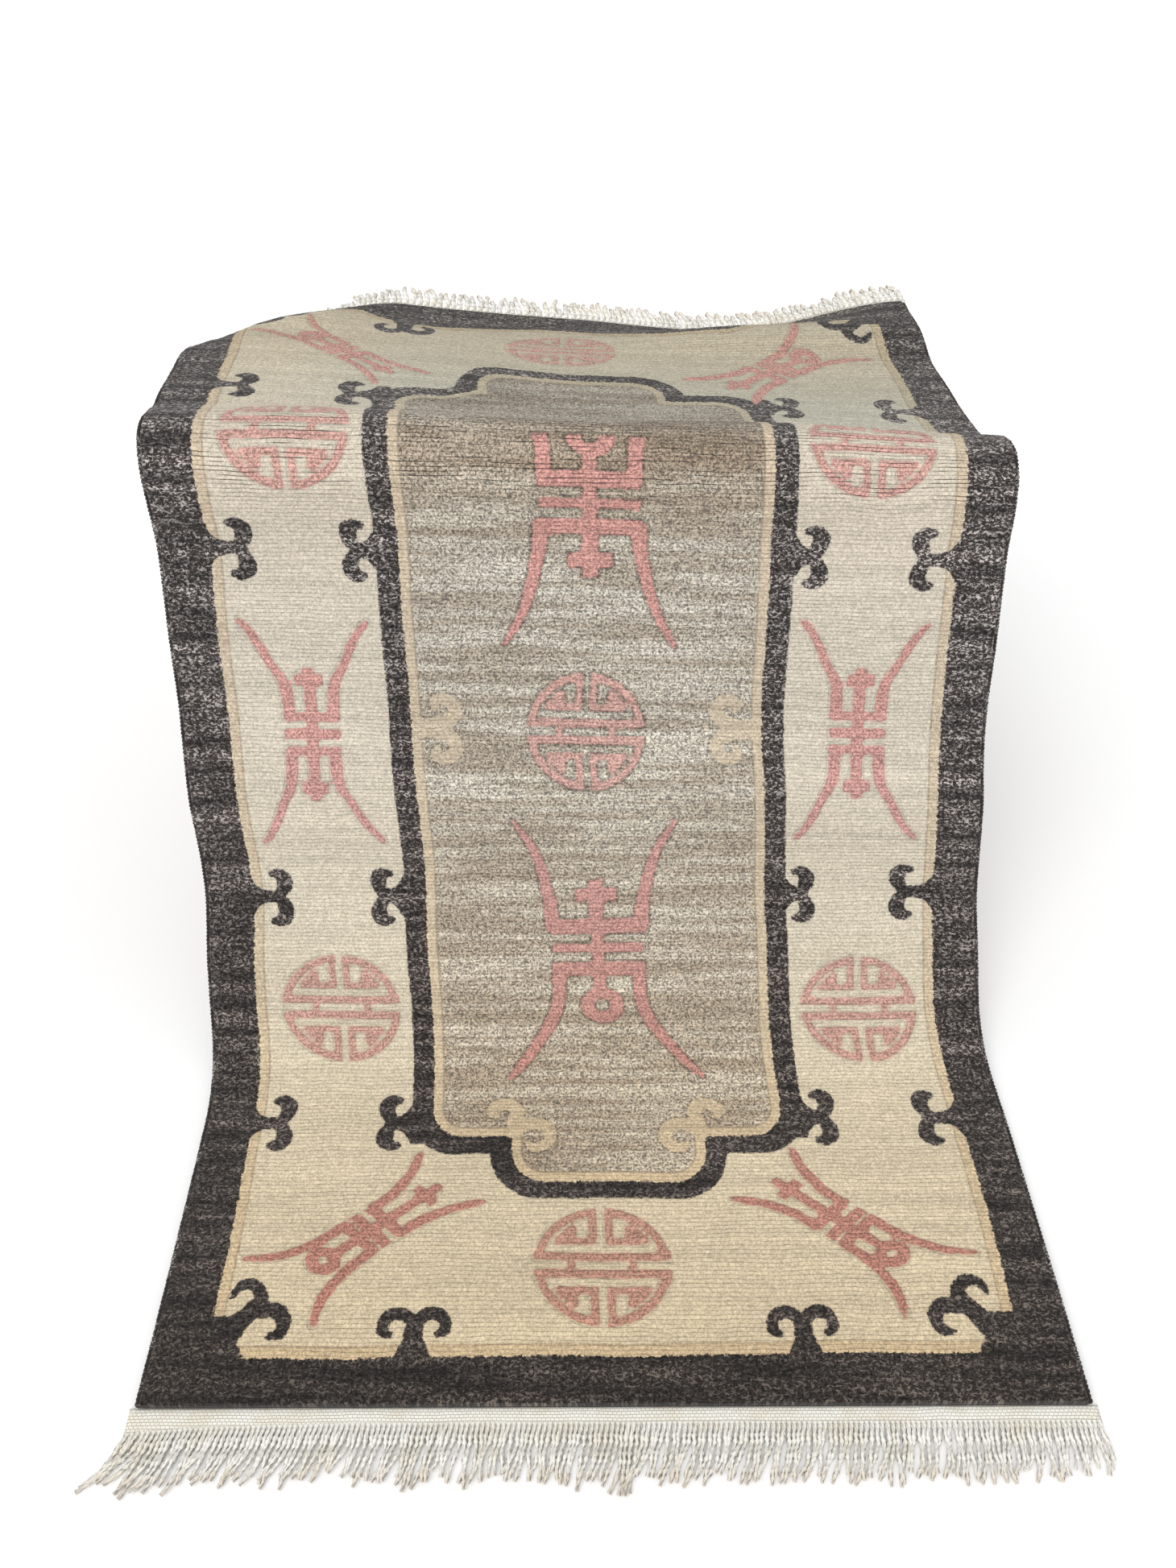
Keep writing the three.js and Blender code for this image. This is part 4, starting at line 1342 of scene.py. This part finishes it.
class WoolSettings(bpy.types.PropertyGroup):
    """Tints over the wools' own colours."""

    cream: colour_setting("Cream", "Tint of the field")
    frame_line: colour_setting("Frame line", "Tint of the beige outlines", (0.93, 0.86, 0.78))
    panel: colour_setting("Panel", "Tint of the middle panel")
    dark: colour_setting("Dark", "Tint of the border, band and scrolls")
    pink: colour_setting("Pink", "Tint of the ornaments")


class FringeSettings(bpy.types.PropertyGroup):
    """The cotton bands and strands."""

    thickness: length_setting("Thickness", "Width of one strand", 0.0062)
    twist: bpy.props.FloatProperty(name="Twist", description="Turn of a strand over one metre",
                                   default=200.0, unit="ROTATION")
    colour: colour_setting("Cotton", "Clean cotton", linear(251, 249, 243))
    stain: colour_setting("Stain", "Stained cotton", linear(243, 238, 225))


class TableSettings(bpy.types.PropertyGroup):
    """The low table."""

    colour: colour_setting("Wood", "Colour of the wood", linear(168, 122, 80))


class StageSettings(bpy.types.PropertyGroup):
    """The floor and the lights."""

    key: bpy.props.FloatProperty(name="Key light", description="Strength of the soft light from the front",
                                 default=1.62, min=0)
    sky: bpy.props.FloatProperty(name="Surroundings", description="Brightness all round",
                                 default=0.68, min=0)


class RugSettings(bpy.types.PropertyGroup):
    """Everything a user can change."""

    pile: bpy.props.PointerProperty(type=PileSettings)
    wool: bpy.props.PointerProperty(type=WoolSettings)
    fringe: bpy.props.PointerProperty(type=FringeSettings)
    table: bpy.props.PointerProperty(type=TableSettings)
    stage: bpy.props.PointerProperty(type=StageSettings)


# Operators
def ride(piece, slot, *nodes):
    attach(piece, "root")
    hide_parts(*nodes)


class RUG_OT_camera(bpy.types.Operator):
    """Set the camera at the photograph's angle"""

    bl_idname = "rug.camera"
    bl_label = "Camera"

    def execute(self, context):
        data = bpy.data.cameras.new("photo_camera")
        data.sensor_fit = "HORIZONTAL"
        data.sensor_width = SENSOR_WIDTH
        data.lens = SENSOR_WIDTH * CAMERA["focal"] / PHOTO_WIDTH
        data.clip_start = CLIP_START
        pitch, yaw, roll = (math.radians(CAMERA[turn]) for turn in ("pitch", "yaw", "roll"))
        ahead = Vector((math.sin(yaw) * math.cos(pitch), math.cos(yaw) * math.cos(pitch), -math.sin(pitch)))
        right = Vector((math.cos(yaw), -math.sin(yaw), 0))
        up = right.cross(ahead)
        tilted_right = right * math.cos(roll) + up * math.sin(roll)
        tilted_up = up * math.cos(roll) - right * math.sin(roll)
        camera = put("photo_camera", data)
        turn = Matrix((tilted_right, tilted_up, -ahead)).transposed().to_4x4()
        camera.matrix_world = Matrix.Translation(Vector(CAMERA["place"]) * MM) @ turn
        context.scene.camera = camera
        return {"FINISHED"}


class RUG_OT_pile(bpy.types.Operator):
    """Make the rug's knotted pile"""

    bl_idname = "rug.pile"
    bl_label = "Pile"

    def execute(self, context):
        ride(make_pile(context.scene.draped_rug), "wool_pile", "rug")
        return {"FINISHED"}


class RUG_OT_selvedges(bpy.types.Operator):
    """Make the overcast edges"""

    bl_idname = "rug.selvedges"
    bl_label = "Selvedges"

    def execute(self, context):
        for name, side in (("left", -1), ("right", 1)):
            piece = make_selvedge(name + "_overcast", side, context.scene.draped_rug)
            ride(piece, "dark_wool", name + "_selvedge")
        return {"FINISHED"}


class RUG_OT_table(bpy.types.Operator):
    """Make the low table"""

    bl_idname = "rug.table"
    bl_label = "Table"

    def execute(self, context):
        settings = context.scene.draped_rug
        sideways = wood_material("wood_along_x", (0.12, 1, 1), settings)
        backways = wood_material("wood_along_y", (1, 0.12, 1), settings)
        upright = wood_material("wood_along_z", (1, 1, 0.12), settings)
        ride(softened("table_top", "low_table_top", RAIL_BEVEL, sideways), "wood", "table_top")
        for row in ("front", "back"):
            for side in ("left", "right"):
                node = f"{row}_{side}_leg"
                ride(softened(node, "table_" + node, LEG_BEVEL, upright, taper=True), "wood", node)
            node = row + "_apron"
            ride(softened(node, f"table_{row}_rail", RAIL_BEVEL, sideways), "wood", node)
        for side in ("left", "right"):
            node = side + "_apron"
            ride(softened(node, f"table_{side}_rail", RAIL_BEVEL, backways), "wood", node)
        return {"FINISHED"}


class RUG_OT_ends(bpy.types.Operator):
    bl_idname = "rug.ends"
    bl_label = "Bands and fringes"

    def execute(self, context):
        settings = context.scene.draped_rug
        for name, kind, end, direction in ENDS:
            band = make_band(name + "_band", end, direction, settings)
            strands = make_fringe(name + "_strands", kind, end, direction, settings)
            for piece in (band, strands):
                ride(piece, "cotton", name + "_fringe")
        return {"FINISHED"}


class RUG_OT_stage(bpy.types.Operator):
    """Set out the pale floor and soft lights"""

    bl_idname = "rug.stage"
    bl_label = "Stage"

    def execute(self, context):
        floor = make_floor()
        make_lights(context.scene, context.scene.draped_rug.stage)
        context.scene.view_settings.view_transform = "Standard"
        return {"FINISHED"}


class RUG_PT_panel(bpy.types.Panel):
    """The sizes and colours, and a button for each group of pieces"""

    bl_idname = "RUG_PT_panel"
    bl_label = "Draped rug"
    bl_space_type = "VIEW_3D"
    bl_region_type = "UI"
    bl_category = "Rug"

    def draw(self, context):
        settings = context.scene.draped_rug
        for group in (settings.pile, settings.wool, settings.fringe, settings.table, settings.stage):
            box_layout = self.layout.box()
            for name in group.bl_rna.properties.keys():
                if name not in ("rna_type", "name"):
                    box_layout.prop(group, name)
        for operator in OPERATORS:
            self.layout.operator(operator.bl_idname)


GROUPS = (PileSettings, WoolSettings, FringeSettings, TableSettings, StageSettings, RugSettings)
OPERATORS = (RUG_OT_camera, RUG_OT_pile, RUG_OT_selvedges, RUG_OT_table, RUG_OT_ends, RUG_OT_stage)
CLASSES = (*GROUPS, *OPERATORS, RUG_PT_panel)


def register():
    for each in CLASSES:
        bpy.utils.register_class(each)
    bpy.types.Scene.draped_rug = bpy.props.PointerProperty(type=RugSettings)


def unregister():
    del bpy.types.Scene.draped_rug
    for each in reversed(CLASSES):
        bpy.utils.unregister_class(each)


def main():
    register()
    bpy.ops.rug.camera()
    bpy.ops.rug.pile()
    bpy.ops.rug.selvedges()
    bpy.ops.rug.table()
    bpy.ops.rug.ends()
    bpy.ops.rug.stage()


if __name__ == "__main__":
    main()
